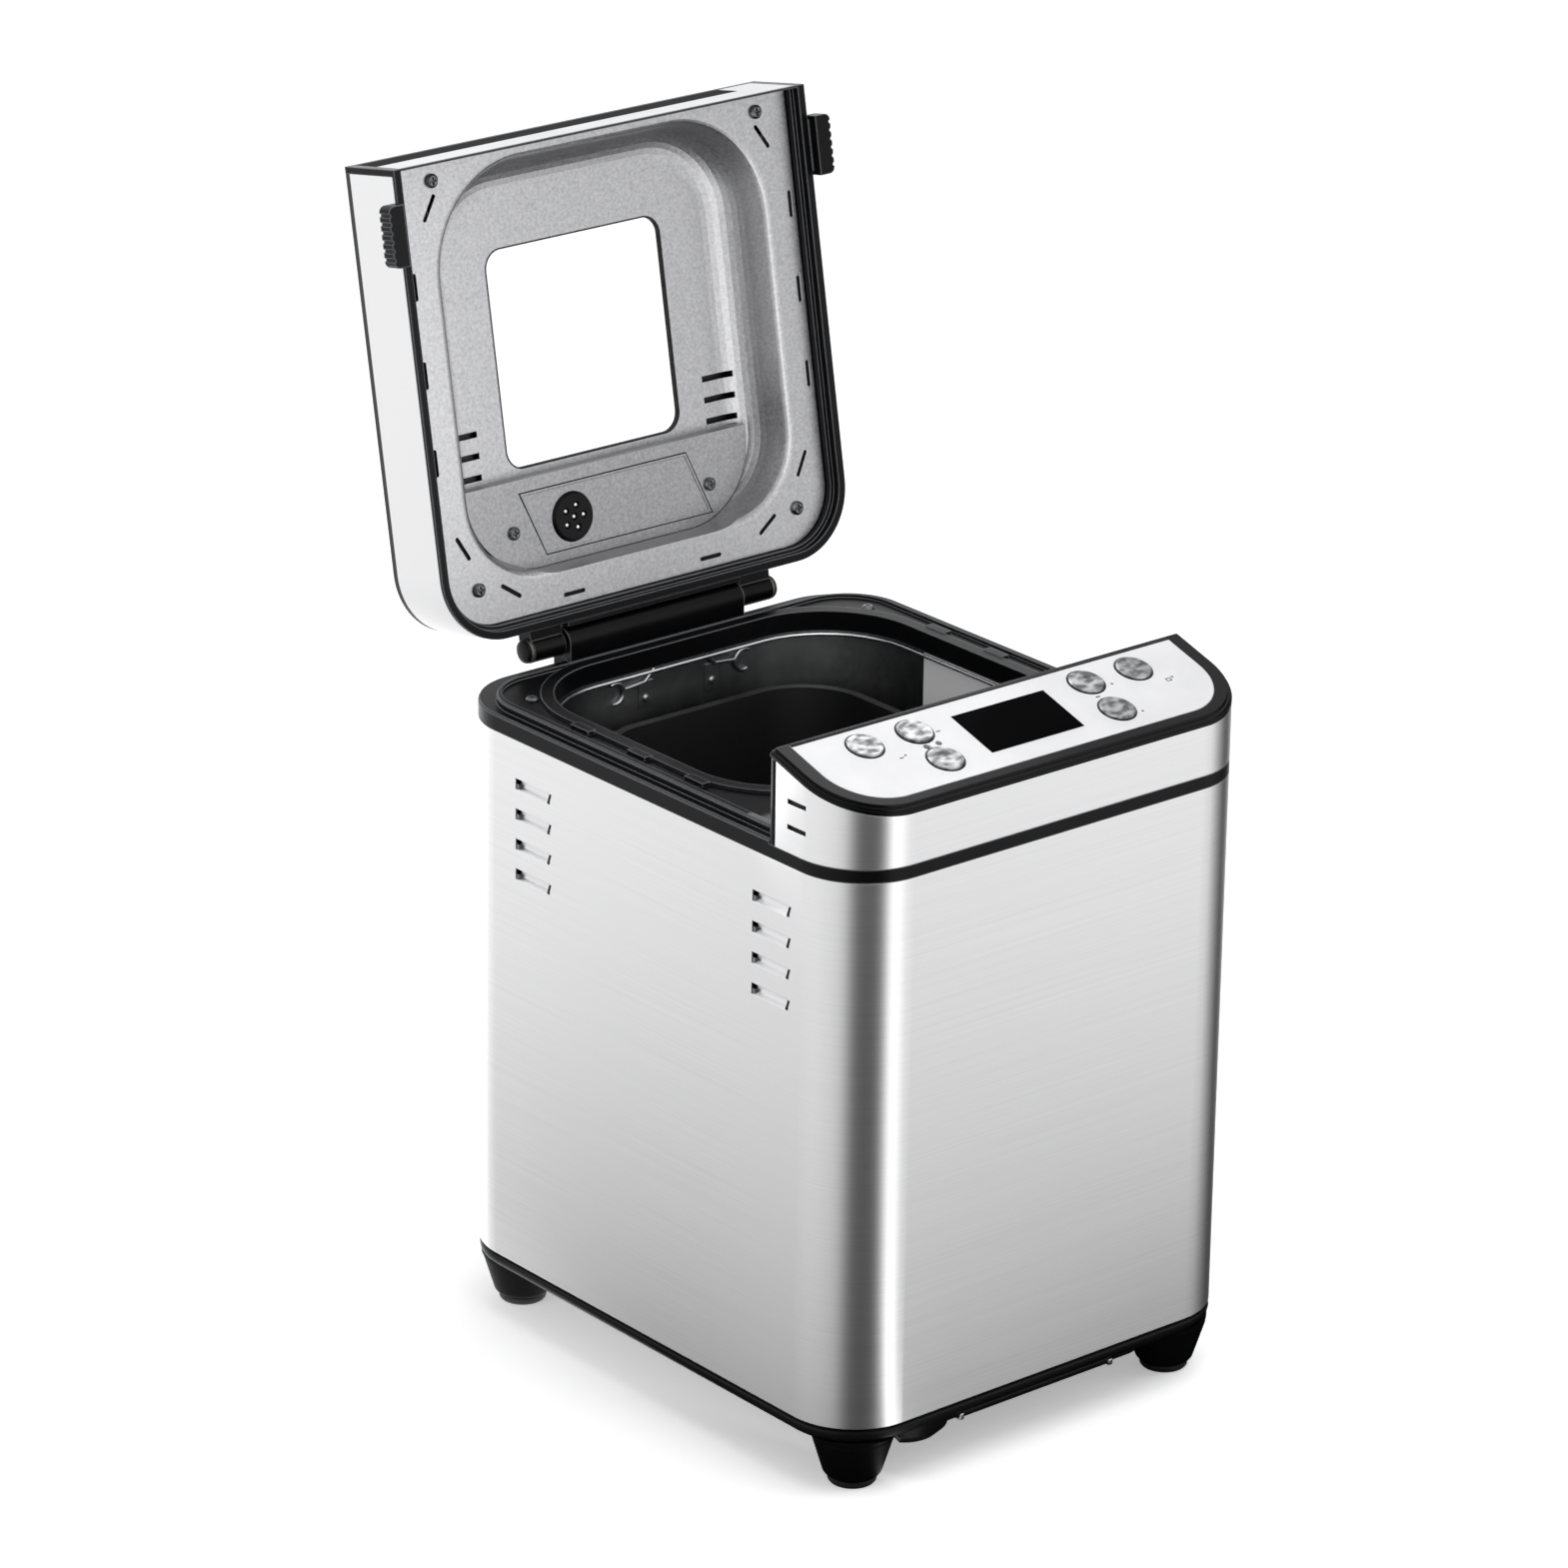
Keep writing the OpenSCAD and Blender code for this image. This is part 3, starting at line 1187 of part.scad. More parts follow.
module lid_inner() color("#b4b5b7") lid_pose() {
  y_edge = lid_y1 - rim_t - 2.2;
  difference() {
    union() {
      translate([0, 0, flange_z]) linear_extrude(dish_t)
        outline(2 * flange_half, lid_y0 + 1.3, y_edge, 0, lid_r - rim_t - 2.2);
      dish_solid(dish_t);
      translate([0, 0, flange_z]) linear_extrude(dish_h + dish_t) vent_outline(dish_t);
    }
    translate([0, 0, -0.01]) dish_solid(0);
    translate([0, 0, flange_z - 1]) linear_extrude(dish_h + 1) vent_outline(0);
    // Window
    translate([0, 0, floor_z - 5]) linear_extrude(20)
      window_outline(0);
    // Clip slots in the flange
    both_sides() {
      for (i = [0:2])
        flange_slot([flange_half - 3, lid_y0 + 47 + i * 38], [flange_half - 3, lid_y0 + 57 + i * 38]);
      flange_slot([flange_half - 17.8, lid_y0 + 15.5], [flange_half - 12, lid_y0 + 24.7]);
      flange_slot([flange_half - 9.3, lid_y1 - 45.7], [flange_half - 14.4, lid_y1 - 36.5]);
      flange_slot([flange_half - 30.3, lid_y1 - 21], [flange_half - 38.8, lid_y1 - 15]);
      flange_slot([33, lid_y1 - 10.3], [43, lid_y1 - 10.3]);
    }
    // Steam slots low in the dish's walls
    both_sides() for (i = [0:2])
      translate([dish_w / 2 - 29, window_y1 - 21 + i * 9.5, floor_z - 14]) cube([16, 2.6, 20]);
    at_lid_screws() translate([0, 0, flange_z - 1]) cylinder(h = 4, r = 1.8);
    // Passage behind the steam vent
    translate([vent_x, vent_y, floor_z - 4]) cylinder(h = 10, r = 6);
  }
}

module lid_window() color("#dfe6ea", 0.35) lid_pose()
  translate([0, 0, glass_z]) linear_extrude(glass_t) window_outline(glass_lap - 0.05);

module window_gasket() color("#101011") lid_pose() difference() {
  translate([0, 0, floor_z + dish_t]) linear_extrude(lid_z1 - floor_z - dish_t)
    window_outline(gasket_lap - 0.1);
  translate([0, 0, glass_z]) linear_extrude(10) window_outline(glass_lap);
  translate([0, 0, floor_z]) linear_extrude(10) window_outline(0.3);
}

vent_x = -22;
vent_y = (vent_y0 + dish_y1) / 2 + 1.4;
vent_r = 11.2;
vent_w = dish_w - 27;

// Cover over the steam passage, with a raised slanted panel
module vent_plate() color("#a2a3a6") lid_pose() {
  difference() {
    translate([0, 0, vent_z]) linear_extrude(floor_z - vent_z) vent_outline(-0.2);
    translate([0, 0, vent_z + 1.2]) linear_extrude(20) vent_outline(-1.6);
    translate([vent_x, vent_y, vent_z - 1]) cylinder(h = 10, r = vent_r - 1.5);
    for (s = [-1, 1]) translate([s * 54.5, vent_y + 1, vent_z - 1]) cylinder(h = 4, r = 1.8);
  }
  translate([0, 0, vent_z - 0.4]) linear_extrude(0.4) difference() {
    slanted_panel(0);
    slanted_panel(1);
    translate([vent_x, vent_y]) circle(vent_r + 0.2);
  }
}

module slanted_panel(inset) {
  low = vent_y0 + 6.5 + inset;
  high = dish_y1 - 5.5 - inset;
  polygon([[-49 + 1.3 * inset, low], [43 - 0.8 * inset, low],
    [54 - 1.3 * inset, high], [-38 + 0.8 * inset, high]]);
}

module steam_vent() color("#121213") lid_pose() translate([vent_x, vent_y, vent_z]) difference() {
  union() {
    translate([0, 0, -1.6]) cylinder(h = 1.6, r1 = vent_r - 1.2, r2 = vent_r);
    cylinder(h = floor_z - vent_z - 1.4, r = vent_r - 1.6);
  }
  translate([0, 0, 1]) cylinder(h = 6, r = vent_r - 3);
  for (turn = [0:72:288]) rotate([0, 0, turn]) translate([5.2, 0, -3]) cylinder(h = 6, r = 1.5);
  translate([0, 0, -3]) cylinder(h = 6, r = 1.5);
}

module lid_screws() color("#77797c") lid_pose() {
  at_lid_screws() translate([0, 0, flange_z]) rotate([180, 0, 0]) screw(3.1, 1.8, 1.3, 8);
  for (s = [-1, 1]) translate([s * 54.5, vent_y + 1, vent_z]) rotate([180, 0, 0]) screw(3, 1.6, 1.7, 6);
}

grip_w = 8.5;
grip_l = 26.5;
grip_y = lid_y0 + 14;
grip_top = 2;
grip_low = 5;

// Ribbed finger grips that hang below the lid's edge at both sides
module lid_grips() color("#151617") lid_pose() both_sides() translate([side_x, grip_y, lid_z0]) {
  difference() {
    translate([0, 0, -grip_low]) linear_extrude(grip_low + grip_top) {
      translate([0.5, 0]) square([grip_w - 3.5, grip_l]);
      translate([0.5, 3]) square([grip_w - 0.5, grip_l - 6]);
      for (y = [3, grip_l - 3]) translate([grip_w - 3, y]) circle(3);
    }
    for (i = [1:6]) translate([grip_w, i * grip_l / 7, -grip_low - 1])
      cylinder(h = grip_low + grip_top + 2, r = 0.8);
  }
  translate([0, 2, 0]) cube([1, grip_l - 4, lid_rim_h]);
}

// Flanged bushes in the lid's ears, which run on the hinge pins
module hinge_bushes() color("#e9dfc4") lid_pose() both_sides()
  translate([ear_x, hinge_y, hinge_z]) rotate([0, 90, 0]) difference() {
    union() {
      cylinder(h = ear_w, r = bush_r);
      translate([0, 0, ear_w]) cylinder(h = 1, r = ear_r - 0.6);
    }
    translate([0, 0, -1]) cylinder(h = ear_w + 3, r = pin_r + running_gap);
  }

// ---------------------------------------------------------------- bread pan

pan_foot = 10;
rim_out = 2.6;
rim_h = 2.2;
pan_y0 = drive_y - pan_l / 2 + rim_out;
pan_y1 = drive_y + pan_l / 2 - rim_out;
lean = atan(pan_draft / pan_h);
pan_in = pan_draft + pan_foot;
boss_r = 11;
bail_y = drive_y;
bail_z = pan_z1 - 9;
wall_w = pan_w - 2 * rim_out;
wall_r = pan_r - rim_out;
ear_x0 = wall_w / 2 - 1;
ear_t = 2.6;
ear_half = 9;
stop_t = 2;
bail_x = pan_w / 2 + bail_r + 0.6;
bail_len = pan_l / 2 + bail_r + 1.2;

// Section of the pan: rolled rim, leaning wall and rounded foot
module pan_section() {
  polygon(concat([[0, pan_z1], [-rim_out, pan_z1], [-rim_out, pan_z1 - rim_h], [0, pan_z1 - rim_h]],
    arc(pan_in - 1, pan_z0 + pan_foot, pan_foot, 180 + lean, 270, 6),
    [[pan_in + 6, pan_z0], [pan_in + 6, pan_z0 + pan_t]],
    arc(pan_in - 1, pan_z0 + pan_foot, pan_foot - pan_t, 270, 180 + lean, 6),
    [[pan_t, pan_z1]]));
}

module bread_pan() color("#2c2d2f") stand() {
  difference() {
    union() {
      swept(wall_w, pan_y0, pan_y1, wall_r, wall_r) pan_section();
      translate([0, 0, pan_z0]) linear_extrude(pan_t)
        outline(wall_w - 2 * pan_in - 8, pan_y0 + pan_in + 4, pan_y1 - pan_in - 4,
          wall_r - pan_in - 4, wall_r - pan_in - 4);
    }
    translate([0, drive_y, pan_z0 - 1]) cylinder(h = pan_t + 2, r = boss_r - 3);
  }
  // Riveted ears that carry the handle, each with a stop under the wire
  both_sides() difference() {
    union() {
      translate([ear_x0, bail_y - ear_half, bail_z - 8]) cube([ear_t, 2 * ear_half, 12]);
      translate([ear_x0, bail_y, bail_z]) rotate([0, 90, 0]) cylinder(h = ear_t, r = 6);
      translate([ear_x0, bail_y - ear_half, bail_z - bail_r - stop_t - 0.1])
        cube([bail_x - ear_x0, 3, stop_t]);
    }
    translate([ear_x0 + 0.6, bail_y, bail_z]) rotate([0, 90, 0]) cylinder(h = 8, r = bail_r + running_gap);
  }
}

// Cast foot under the pan: flange and skirt that sit in the seat, and the paddle's bearing
module pan_base() color("#8b8d90") stand() translate([0, drive_y, 0]) {
  bore = shaft_r + running_gap;
  skirt_r = seat_r - 4 - 0.4;
  boss = boss_r - 3.05;
  rotate_extrude() polygon([
    [bore, pan_z0 - 8], [bore + 5, pan_z0 - 8], [bore + 5, pan_z0 - 3], [skirt_r - 2.5, pan_z0 - 3],
    [skirt_r - 2.5, seat_z - 6], [skirt_r, seat_z - 6], [skirt_r, seat_z], [seat_r - 0.5, seat_z],
    [seat_r - 0.5, seat_z + 2], [skirt_r, seat_z + 2], [skirt_r, pan_z0], [boss, pan_z0],
    [boss, pan_z0 + pan_t + 4], [bore, pan_z0 + pan_t + 4]]);
}

// Wire bail, folded forwards over the pan's front edge
module pan_handle() color("#b6b8bb") stand() translate([0, bail_y, bail_z]) {
  bend = 24;
  both_sides() {
    rod([ear_x0 + 0.8, 0, 0], [bail_x, 0, 0], bail_r);
    translate([bail_x, 0, 0]) sphere(bail_r);
    rod([bail_x, 0, 0], [bail_x, -bail_len + bend, 0], bail_r);
    translate([bail_x - bend, -bail_len + bend, 0]) rotate([0, 0, -90])
      rotate_extrude(angle = 90) translate([bend, 0]) circle(bail_r);
  }
  rod([-bail_x + bend, -bail_len, 0], [bail_x - bend, -bail_len, 0], bail_r);
}

// Shaft of the paddle, with the cross-bar that the drive's dogs push
module paddle_shaft() color("#c3c5c8") stand() translate([0, drive_y, 0]) {
  difference() {
    translate([0, 0, coupling_z + 5]) cylinder(h = pan_z0 + 22 - coupling_z - 5, r = shaft_r);
    translate([shaft_r - 1.2, -shaft_r, pan_z0 + 8]) cube([4, 2 * shaft_r, 20]);
  }
  translate([-3, -11, coupling_z + 4.6]) cube([6, 22, 3.4]);
}

// Kneading paddle: hub with a flat in its bore and one leaning blade
module kneading_paddle() color("#303133") stand() translate([0, drive_y, pan_z0 + pan_t + 4.4]) {
  gap = running_gap;
  difference() {
    union() {
      cylinder(h = 20, r1 = 10, r2 = 7.5);
      translate([0, 0, 0]) linear_extrude(18) {
        translate([0, -2]) square([34, 4]);
        translate([34, 0]) circle(2);
      }
      translate([0, 0, 18]) linear_extrude(6) {
        translate([0, -2]) square([22, 4]);
        translate([22, 0]) circle(2);
      }
    }
    difference() {
      translate([0, 0, -1]) cylinder(h = 17.5, r = shaft_r + gap);
      translate([shaft_r - 1.2 + gap, -10, 3]) cube([10, 20, 30]);
    }
  }
}

base_tray();
legs();
foot_pads();
base_screws();
body_wrap();
rear_seam_strip();
cord_gland();
top_frame();
deck_screws();
collar();
chamber();
pan_springs();
spring_rivets();
heating_element();
heater_clips();
heater_terminals();
temperature_sensor();
drive_frame();
bearing_housing();
drive_shaft();
drive_coupling();
large_pulley();
drive_belt();
motor();
motor_spacers();
motor_shaft();
motor_pulley();
run_capacitor();
power_board();
housing_shell();
housing_skin();
panel_bezel();
panel_plate();
control_board();
display_module();
display_window();
indicator_lenses();
button_left_outer();
button_left_upper();
button_left_lower();
button_right_upper();
button_right_lower();
button_right_outer();
hinge_pins();
lid_shell();
lid_frame();
lid_end_panel();
lid_inner();
lid_window();
window_gasket();
vent_plate();
steam_vent();
lid_screws();
lid_grips();
hinge_bushes();
bread_pan();
pan_base();
pan_handle();
paddle_shaft();
kneading_paddle();
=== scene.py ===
# %% [markdown]
# # Dressing the bread machine
#
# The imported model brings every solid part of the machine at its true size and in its
# place. This script gives each part the surface that the real one has, adds the thin
# trims that are easier to draw here, and sets up the floor, the lamps and the camera.
# Everything is in metres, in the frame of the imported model: the table is at height 0,
# X runs to the machine's right and Y to its back.

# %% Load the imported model
import json
import math
import bpy
import bmesh
from mathutils import Matrix, Vector


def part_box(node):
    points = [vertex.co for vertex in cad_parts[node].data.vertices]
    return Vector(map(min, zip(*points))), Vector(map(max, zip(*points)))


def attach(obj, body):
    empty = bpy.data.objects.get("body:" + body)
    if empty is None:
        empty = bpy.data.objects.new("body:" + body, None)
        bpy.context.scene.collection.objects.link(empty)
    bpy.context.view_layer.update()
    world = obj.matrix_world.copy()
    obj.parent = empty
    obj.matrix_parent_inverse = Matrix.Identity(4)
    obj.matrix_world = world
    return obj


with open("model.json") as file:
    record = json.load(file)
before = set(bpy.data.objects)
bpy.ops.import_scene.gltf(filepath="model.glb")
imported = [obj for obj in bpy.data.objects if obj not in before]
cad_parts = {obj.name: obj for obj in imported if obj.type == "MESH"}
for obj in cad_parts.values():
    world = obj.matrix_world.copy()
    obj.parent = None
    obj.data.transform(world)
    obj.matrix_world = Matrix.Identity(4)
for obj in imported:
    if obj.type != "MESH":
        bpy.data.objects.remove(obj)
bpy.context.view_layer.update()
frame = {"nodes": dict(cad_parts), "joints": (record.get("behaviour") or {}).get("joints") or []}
MM = 0.001
nodes = frame["nodes"]
print("parts in the frame:", len(nodes))

# %% [markdown]
# ## Colours, nodes and new materials
#
# A shader counts in linear light, but a colour is easiest to choose as it looks on a
# screen. So colours are written as rrggbb and turned in one place. A material could be
# wired up by hand in the shader editor. Here `add_node` adds any kind of node, sets
# what it is told and fills or links its inputs, so that a finish reads as a short list.
# Every material starts from the same Principled shader, which covers metals, plastics
# and glass alike.

# %% Colours, nodes and new materials
def linear(hex_code):
    """A colour written as rrggbb, in linear light with alpha 1."""
    values = [int(hex_code[i:i + 2], 16) / 255 for i in (0, 2, 4)]
    light = [v / 12.92 if v <= 0.04045 else ((v + 0.055) / 1.055) ** 2.4 for v in values]
    return (*light, 1.0)


def add_node(tree, kind, inputs=None, **settings):
    """Adds a node with these settings, and gives each input named or numbered a value or a link."""
    node = tree.nodes.new("ShaderNode" + kind)
    for name, value in settings.items():
        setattr(node, name, value)
    for socket, value in (inputs or {}).items():
        if isinstance(value, bpy.types.NodeSocket):
            tree.links.new(value, node.inputs[socket])
        else:
            node.inputs[socket].default_value = value
    return node


def new_material(name, colour, roughness, metallic=0.0, sockets=None):
    """A material with one Principled shader; returns it, its node tree and its shader."""
    made = bpy.data.materials.new(name)
    made.use_nodes = True
    principled = made.node_tree.nodes["Principled BSDF"]
    values = {"Base Color": linear(colour), "Roughness": roughness, "Metallic": metallic}
    for socket, value in {**values, **(sockets or {})}.items():
        principled.inputs[socket].default_value = value
    return made, made.node_tree, principled


print("white in linear light:", linear("ffffff"), "middle grey:", linear("808080"))

# %% [markdown]
# ## What a surface does at close range
#
# No real surface is one flat colour. Each finish below is built from three things: a
# grain, which is a noise on the piece's own coordinates and so moves with it, two
# close shades that follow the grain, and a relief so shallow that only the light shows
# it. The relief also carries a rounded normal, because a real edge is never a knife
# edge: it always catches a thin line of light. Modelling those fillets on every part
# would cost many faces, and the Bevel node draws them while the light is traced.

# %% Grain, shades and relief
BEVEL_SAMPLES = 6


def grain(tree, per_mm, detail=3.0, softness=0.55):
    """Noise on the piece's own coordinates, with so many changes to the mm on each axis."""
    place = add_node(tree, "TexCoord").outputs["Object"]
    scale = [count / MM for count in per_mm]
    spaced = add_node(tree, "Mapping", {"Vector": place, "Scale": scale}).outputs["Vector"]
    inputs = {"Vector": spaced, "Scale": 1.0, "Detail": detail, "Roughness": softness}
    return add_node(tree, "TexNoise", inputs).outputs["Fac"]


def shaded(tree, principled, pattern, dark, light, start=0.3, end=0.7):
    """Colours the shader from dark to light as the pattern goes from start to end."""
    share = add_node(tree, "MapRange", {"Value": pattern, "From Min": start, "From Max": end})
    colours = {"Factor": share.outputs["Result"], "A": linear(dark), "B": linear(light)}
    mixed = add_node(tree, "Mix", colours, data_type="RGBA")
    tree.links.new(mixed.outputs["Result"], principled.inputs["Base Color"])


def uneven(tree, principled, pattern, smoothest, roughest):
    """Lets the pattern vary the shader's roughness between two values."""
    inputs = {"Value": pattern, "To Min": smoothest, "To Max": roughest}
    share = add_node(tree, "MapRange", inputs)
    tree.links.new(share.outputs["Result"], principled.inputs["Roughness"])


def relief(tree, principled, height, depth, strength, edge=None):
    """Shows the pattern as a relief of this depth, over edges rounded by a radius; both in mm."""
    inputs = {"Height": height, "Distance": depth * MM, "Strength": strength}
    if edge is not None:
        rounded = add_node(tree, "Bevel", {"Radius": edge * MM}, samples=BEVEL_SAMPLES)
        inputs["Normal"] = rounded.outputs["Normal"]
    bump = add_node(tree, "Bump", inputs)
    tree.links.new(bump.outputs["Normal"], principled.inputs["Normal"])


print("samples for a rounded edge:", BEVEL_SAMPLES)

# %% [markdown]
# ## Brushed stainless steel
#
# The wrapper, the lid and the skin round the controls are stainless sheet that a belt
# of grit has brushed level. The eye sees fine level strokes, and reflections that are
# smeared up and down but stay sharp sideways. A picture of strokes could be laid over
# the sheet, but it would need a map of every bend. Instead the grain is squeezed: it
# changes 4.2 times in each millimetre across the strokes and once in 125 mm along
# them. Real strokes are finer still, and these are as coarse as they need to be to
# show. The smear is the shader's anisotropy, turned by a quarter of a full turn.

# %% Brushed stainless steel
BRUSHED_ROUGHNESS = 0.42


def brushed_steel(name, dark, light, strokes):
    """Stainless sheet brushed by a belt; strokes counts the changes to the mm on each axis."""
    smear = {"Anisotropic": 0.9, "Anisotropic Rotation": 0.25}
    made, tree, principled = new_material(name, light, BRUSHED_ROUGHNESS, 1.0, smear)
    pattern = grain(tree, strokes)
    shaded(tree, principled, pattern, dark, light, 0.25, 0.75)
    uneven(tree, principled, pattern, BRUSHED_ROUGHNESS - 0.04, BRUSHED_ROUGHNESS + 0.04)
    relief(tree, principled, pattern, 0.004, 0.5, edge=0.6)
    return made


# The body's sheet is bright, with level strokes that dull its reflections a little
steel = brushed_steel("steel_brushed_sheet", "e2e2e3", "eeeeef", (0.008, 0.008, 4.2))
# The lid's sheet is brushed across its width, whichever way the lid is swung
lid_steel = brushed_steel("steel_brushed_lid", "dcdcdd", "e5e5e6", (0.008, 2.6, 2.6))
print("brushed steel:", steel.name, lid_steel.name)

# %% [markdown]
# ## Painting a line or a patch over a finish
#
# The lid's sheet is folded over its frame, and the fold shows as a thin dark line just
# under the top edge. The line could be cut into the mesh, but it is only 3 mm high and
# follows the sheet exactly, so it is painted: a mask is 1 where the line runs, and the
# colour is laid over the steel there. The lid stands open, so the mask first turns the
# coordinates back about the hinge, to the heights of a closed lid.

# %% The lid's seam
hinge = next(joint for joint in frame["joints"] if joint["name"] == "lid_hinge")
lid_axis = Vector(hinge["pos_m"])
LID_OPEN = math.radians(100.5)
SEAM_LOW, SEAM_HIGH = 25.2, 28.28  # mm above the hinge's axis, with the lid closed


def mask_where(tree, *limits):
    """A mask that is 1 where each value given has gone all the way from its start to its end."""
    mask = 1.0
    for value, start, end in limits:
        gone = add_node(tree, "MapRange", {"Value": value, "From Min": start, "From Max": end})
        factors = {0: gone.outputs["Result"], 1: mask}
        mask = add_node(tree, "Math", factors, operation="MULTIPLY").outputs[0]
    return mask


def paint_over(made, mask, colour, metallic=None):
    """Lays a colour, and where it is given a metallic value, over a finish where the mask is 1."""
    tree = made.node_tree
    principled = tree.nodes["Principled BSDF"]
    under = principled.inputs["Base Color"].links[0].from_socket
    mixed = add_node(tree, "Mix", {"Factor": mask, "A": under, "B": linear(colour)},
                     data_type="RGBA")
    tree.links.new(mixed.outputs["Result"], principled.inputs["Base Color"])
    if metallic is not None:
        whole = principled.inputs["Metallic"].default_value
        share = add_node(tree, "MapRange", {"Value": mask, "To Min": whole, "To Max": metallic})
        tree.links.new(share.outputs["Result"], principled.inputs["Metallic"])


tree = lid_steel.node_tree
place = add_node(tree, "TexCoord").outputs["Object"]
from_hinge = add_node(tree, "Mapping", {"Vector": place, "Location": -lid_axis}).outputs["Vector"]
closed = add_node(tree, "Mapping", {"Vector": from_hinge, "Rotation": (LID_OPEN, 0, 0)})
height = add_node(tree, "SeparateXYZ", {"Vector": closed.outputs["Vector"]}).outputs["Z"]
seam = mask_where(tree, (height, SEAM_LOW * MM, (SEAM_LOW + 0.3) * MM),
                  (height, SEAM_HIGH * MM, (SEAM_HIGH - 0.1) * MM))
# The fold is a shadow gap, so its colour is nearly black and hardly metallic
paint_over(lid_steel, seam, "141415", 0.2)
print("seam of the lid:", round(SEAM_HIGH - SEAM_LOW, 1), "mm high")

# %% [markdown]
# ## Plain, satin and cast metals
#
# The metal parts that aren't brushed differ in how they were made. Pressed and turned
# steel is smooth, and its shade only drifts slowly over centimetres. Painted and cast
# aluminium has a fine speckle that the eye sees from close by. One function serves
# both: `speckled` says whether the shades follow the fine grain or the slow drift.

# %% Plain, satin and cast metals
DRIFT = (0.025, 0.025, 0.025)  # shades that change every 40 mm


def satin_metal(name, dark, light, roughness, per_mm=0.9, depth=0.02, speckled=False):
    """Bare or painted metal with a fine grain of this many changes and this depth in mm."""
    made, tree, principled = new_material(name, light, roughness, 1.0)
    fine = grain(tree, (per_mm, per_mm, per_mm), detail=4.0)
    drift = grain(tree, DRIFT)
    shaded(tree, principled, fine if speckled else drift, dark, light)
    uneven(tree, principled, fine, roughness - 0.08, roughness + 0.1)
    relief(tree, principled, fine, depth, 0.6, edge=0.4)
    return made


# Pressed steel, pale and even: the lid's end panel
end_steel = satin_metal("steel_lid_end", "bdbdbf", "c9c9cb", 0.36)
# Shafts, clips and the pan's handle are drawn bright
bright_steel = satin_metal("steel_bright", "b4b5b8", "d2d3d6", 0.24)
# Spring wire keeps the grey of its heat treatment
spring_steel = satin_metal("steel_spring_wire", "8d8e90", "aaabad", 0.3)
# Blued screws look darker than the sheet that they hold
screw_steel = satin_metal("steel_screw_dark", "5c5d5f", "8b8c8e", 0.3)
# Blackened screws in the lid, with a coarse speckle that breaks up their shine
lid_screw_steel = satin_metal("steel_screw_blackened", "37383a", "77787a", 0.3, 0.5, 0.1,
                              speckled=True)
# Die-cast aluminium is dull, and its skin is slightly pitted
cast_metal = satin_metal("aluminium_cast", "8a8b8e", "a3a4a7", 0.48, 1.5, 0.06)
# The lid's drawn inner panel is aluminium under a metallic paint with a fine speckle
panel_metal = satin_metal("aluminium_inner_panel", "9c9c9e", "bababc", 0.38, 0.7, 0.07,
                          speckled=True)
# The vent cover has the same paint in a darker grey
cover_metal = satin_metal("aluminium_vent_cover", "8a8a8c", "a8a8aa", 0.44, 0.7, 0.07,
                          speckled=True)
# The heater's sheath has burnt almost black
element_metal = satin_metal("heating_element_sheath", "2f3032", "45474a", 0.5)
print("materials in the file:", len(bpy.data.materials))

# %% [markdown]
# ## The baking chamber's liner
#
# The liner is one piece of coated steel, and most of it looks dark, because it mirrors
# the dark pan and itself. Its flat wall on the right faces the light that falls in and
# stands out pale, with a sharp upright edge where the rounded corner begins. A
# reflection of one lamp would only do that from one side, so that light is painted: a
# near-white highlight is laid over the wall with a mask, beyond 91.7 mm from the middle,
# and in front of the corner.

# %% The baking chamber's liner
SIDE_WALL = 91.7         # mm from the middle of the machine to the liner's flat side
CORNER_DEPTH = 62        # mm from the liner's back to where the pale wall begins
chamber_steel = satin_metal("steel_chamber_liner", "66676a", "9a9b9d", 0.34, 0.42, 0.03)
tree = chamber_steel.node_tree
place = add_node(tree, "TexCoord").outputs["Object"]
split = add_node(tree, "SeparateXYZ", {"Vector": place}).outputs
liner = nodes["chamber"]
wall_back = max((liner.matrix_world @ v.co).y for v in liner.data.vertices) - CORNER_DEPTH * MM
wall_highlight_mask = mask_where(tree, (split["X"], SIDE_WALL * MM, (SIDE_WALL + 0.1) * MM),
                       (split["Y"], wall_back, wall_back - 0.2 * MM))
# Painted highlight: near-white, non-metallic colour where the flat wall catches the light
paint_over(chamber_steel, wall_highlight_mask, "f0f0f1", 0.0)
print("pale wall of the liner begins at y =", round(wall_back / MM, 1), "mm")

# %% [markdown]
# ## Polished button caps
#
# The six buttons have thin pressed caps of polished steel, a little dished and never
# quite even, so each breaks what it mirrors into bright and dark patches. Dents could
# be sculpted into every cap. A patchy noise stands in for them on all caps at once: it
# tilts the surface by a tenth of a millimetre, and it also paints the bright and dark
# patches of reflection into the caps' colour.

# %% Polished button caps
PATCHES = (0.21, 1.7 * 0.21, 1.7 * 0.21)  # patches of about 5 mm by 3 mm
button_metal, tree, principled = new_material("steel_button_cap", "b4b5b7", 0.32, 1.0)
patches = grain(tree, PATCHES, detail=1.5, softness=0.4)
# Painted reflection: the patches turn the cap's colour from dark grey to pale steel
shaded(tree, principled, patches, "5c5d5f", "b4b5b7", 0.36, 0.64)
relief(tree, principled, patches, 0.12, 0.6, edge=0.4)
print("button caps:", button_metal.name)

# %% [markdown]
# ## Moulded plastics, paint and rubber
#
# The black parts are moulded in ABS and similar plastics. The mould is spark-eroded, so
# the skin has a fine matt grain, and only the bezel and the display's cover come from a
# polished mould. What tells these blacks apart is how much of the surroundings they
# give back, which is the `gloss` below. The silver plate is painted and lacquered, and
# the lacquer is the shader's thin coat.

# %% Moulded plastics, paint and rubber
BLOTCHES = (0.03, 0.03, 0.03)  # the slow drift of a moulded colour, every 33 mm


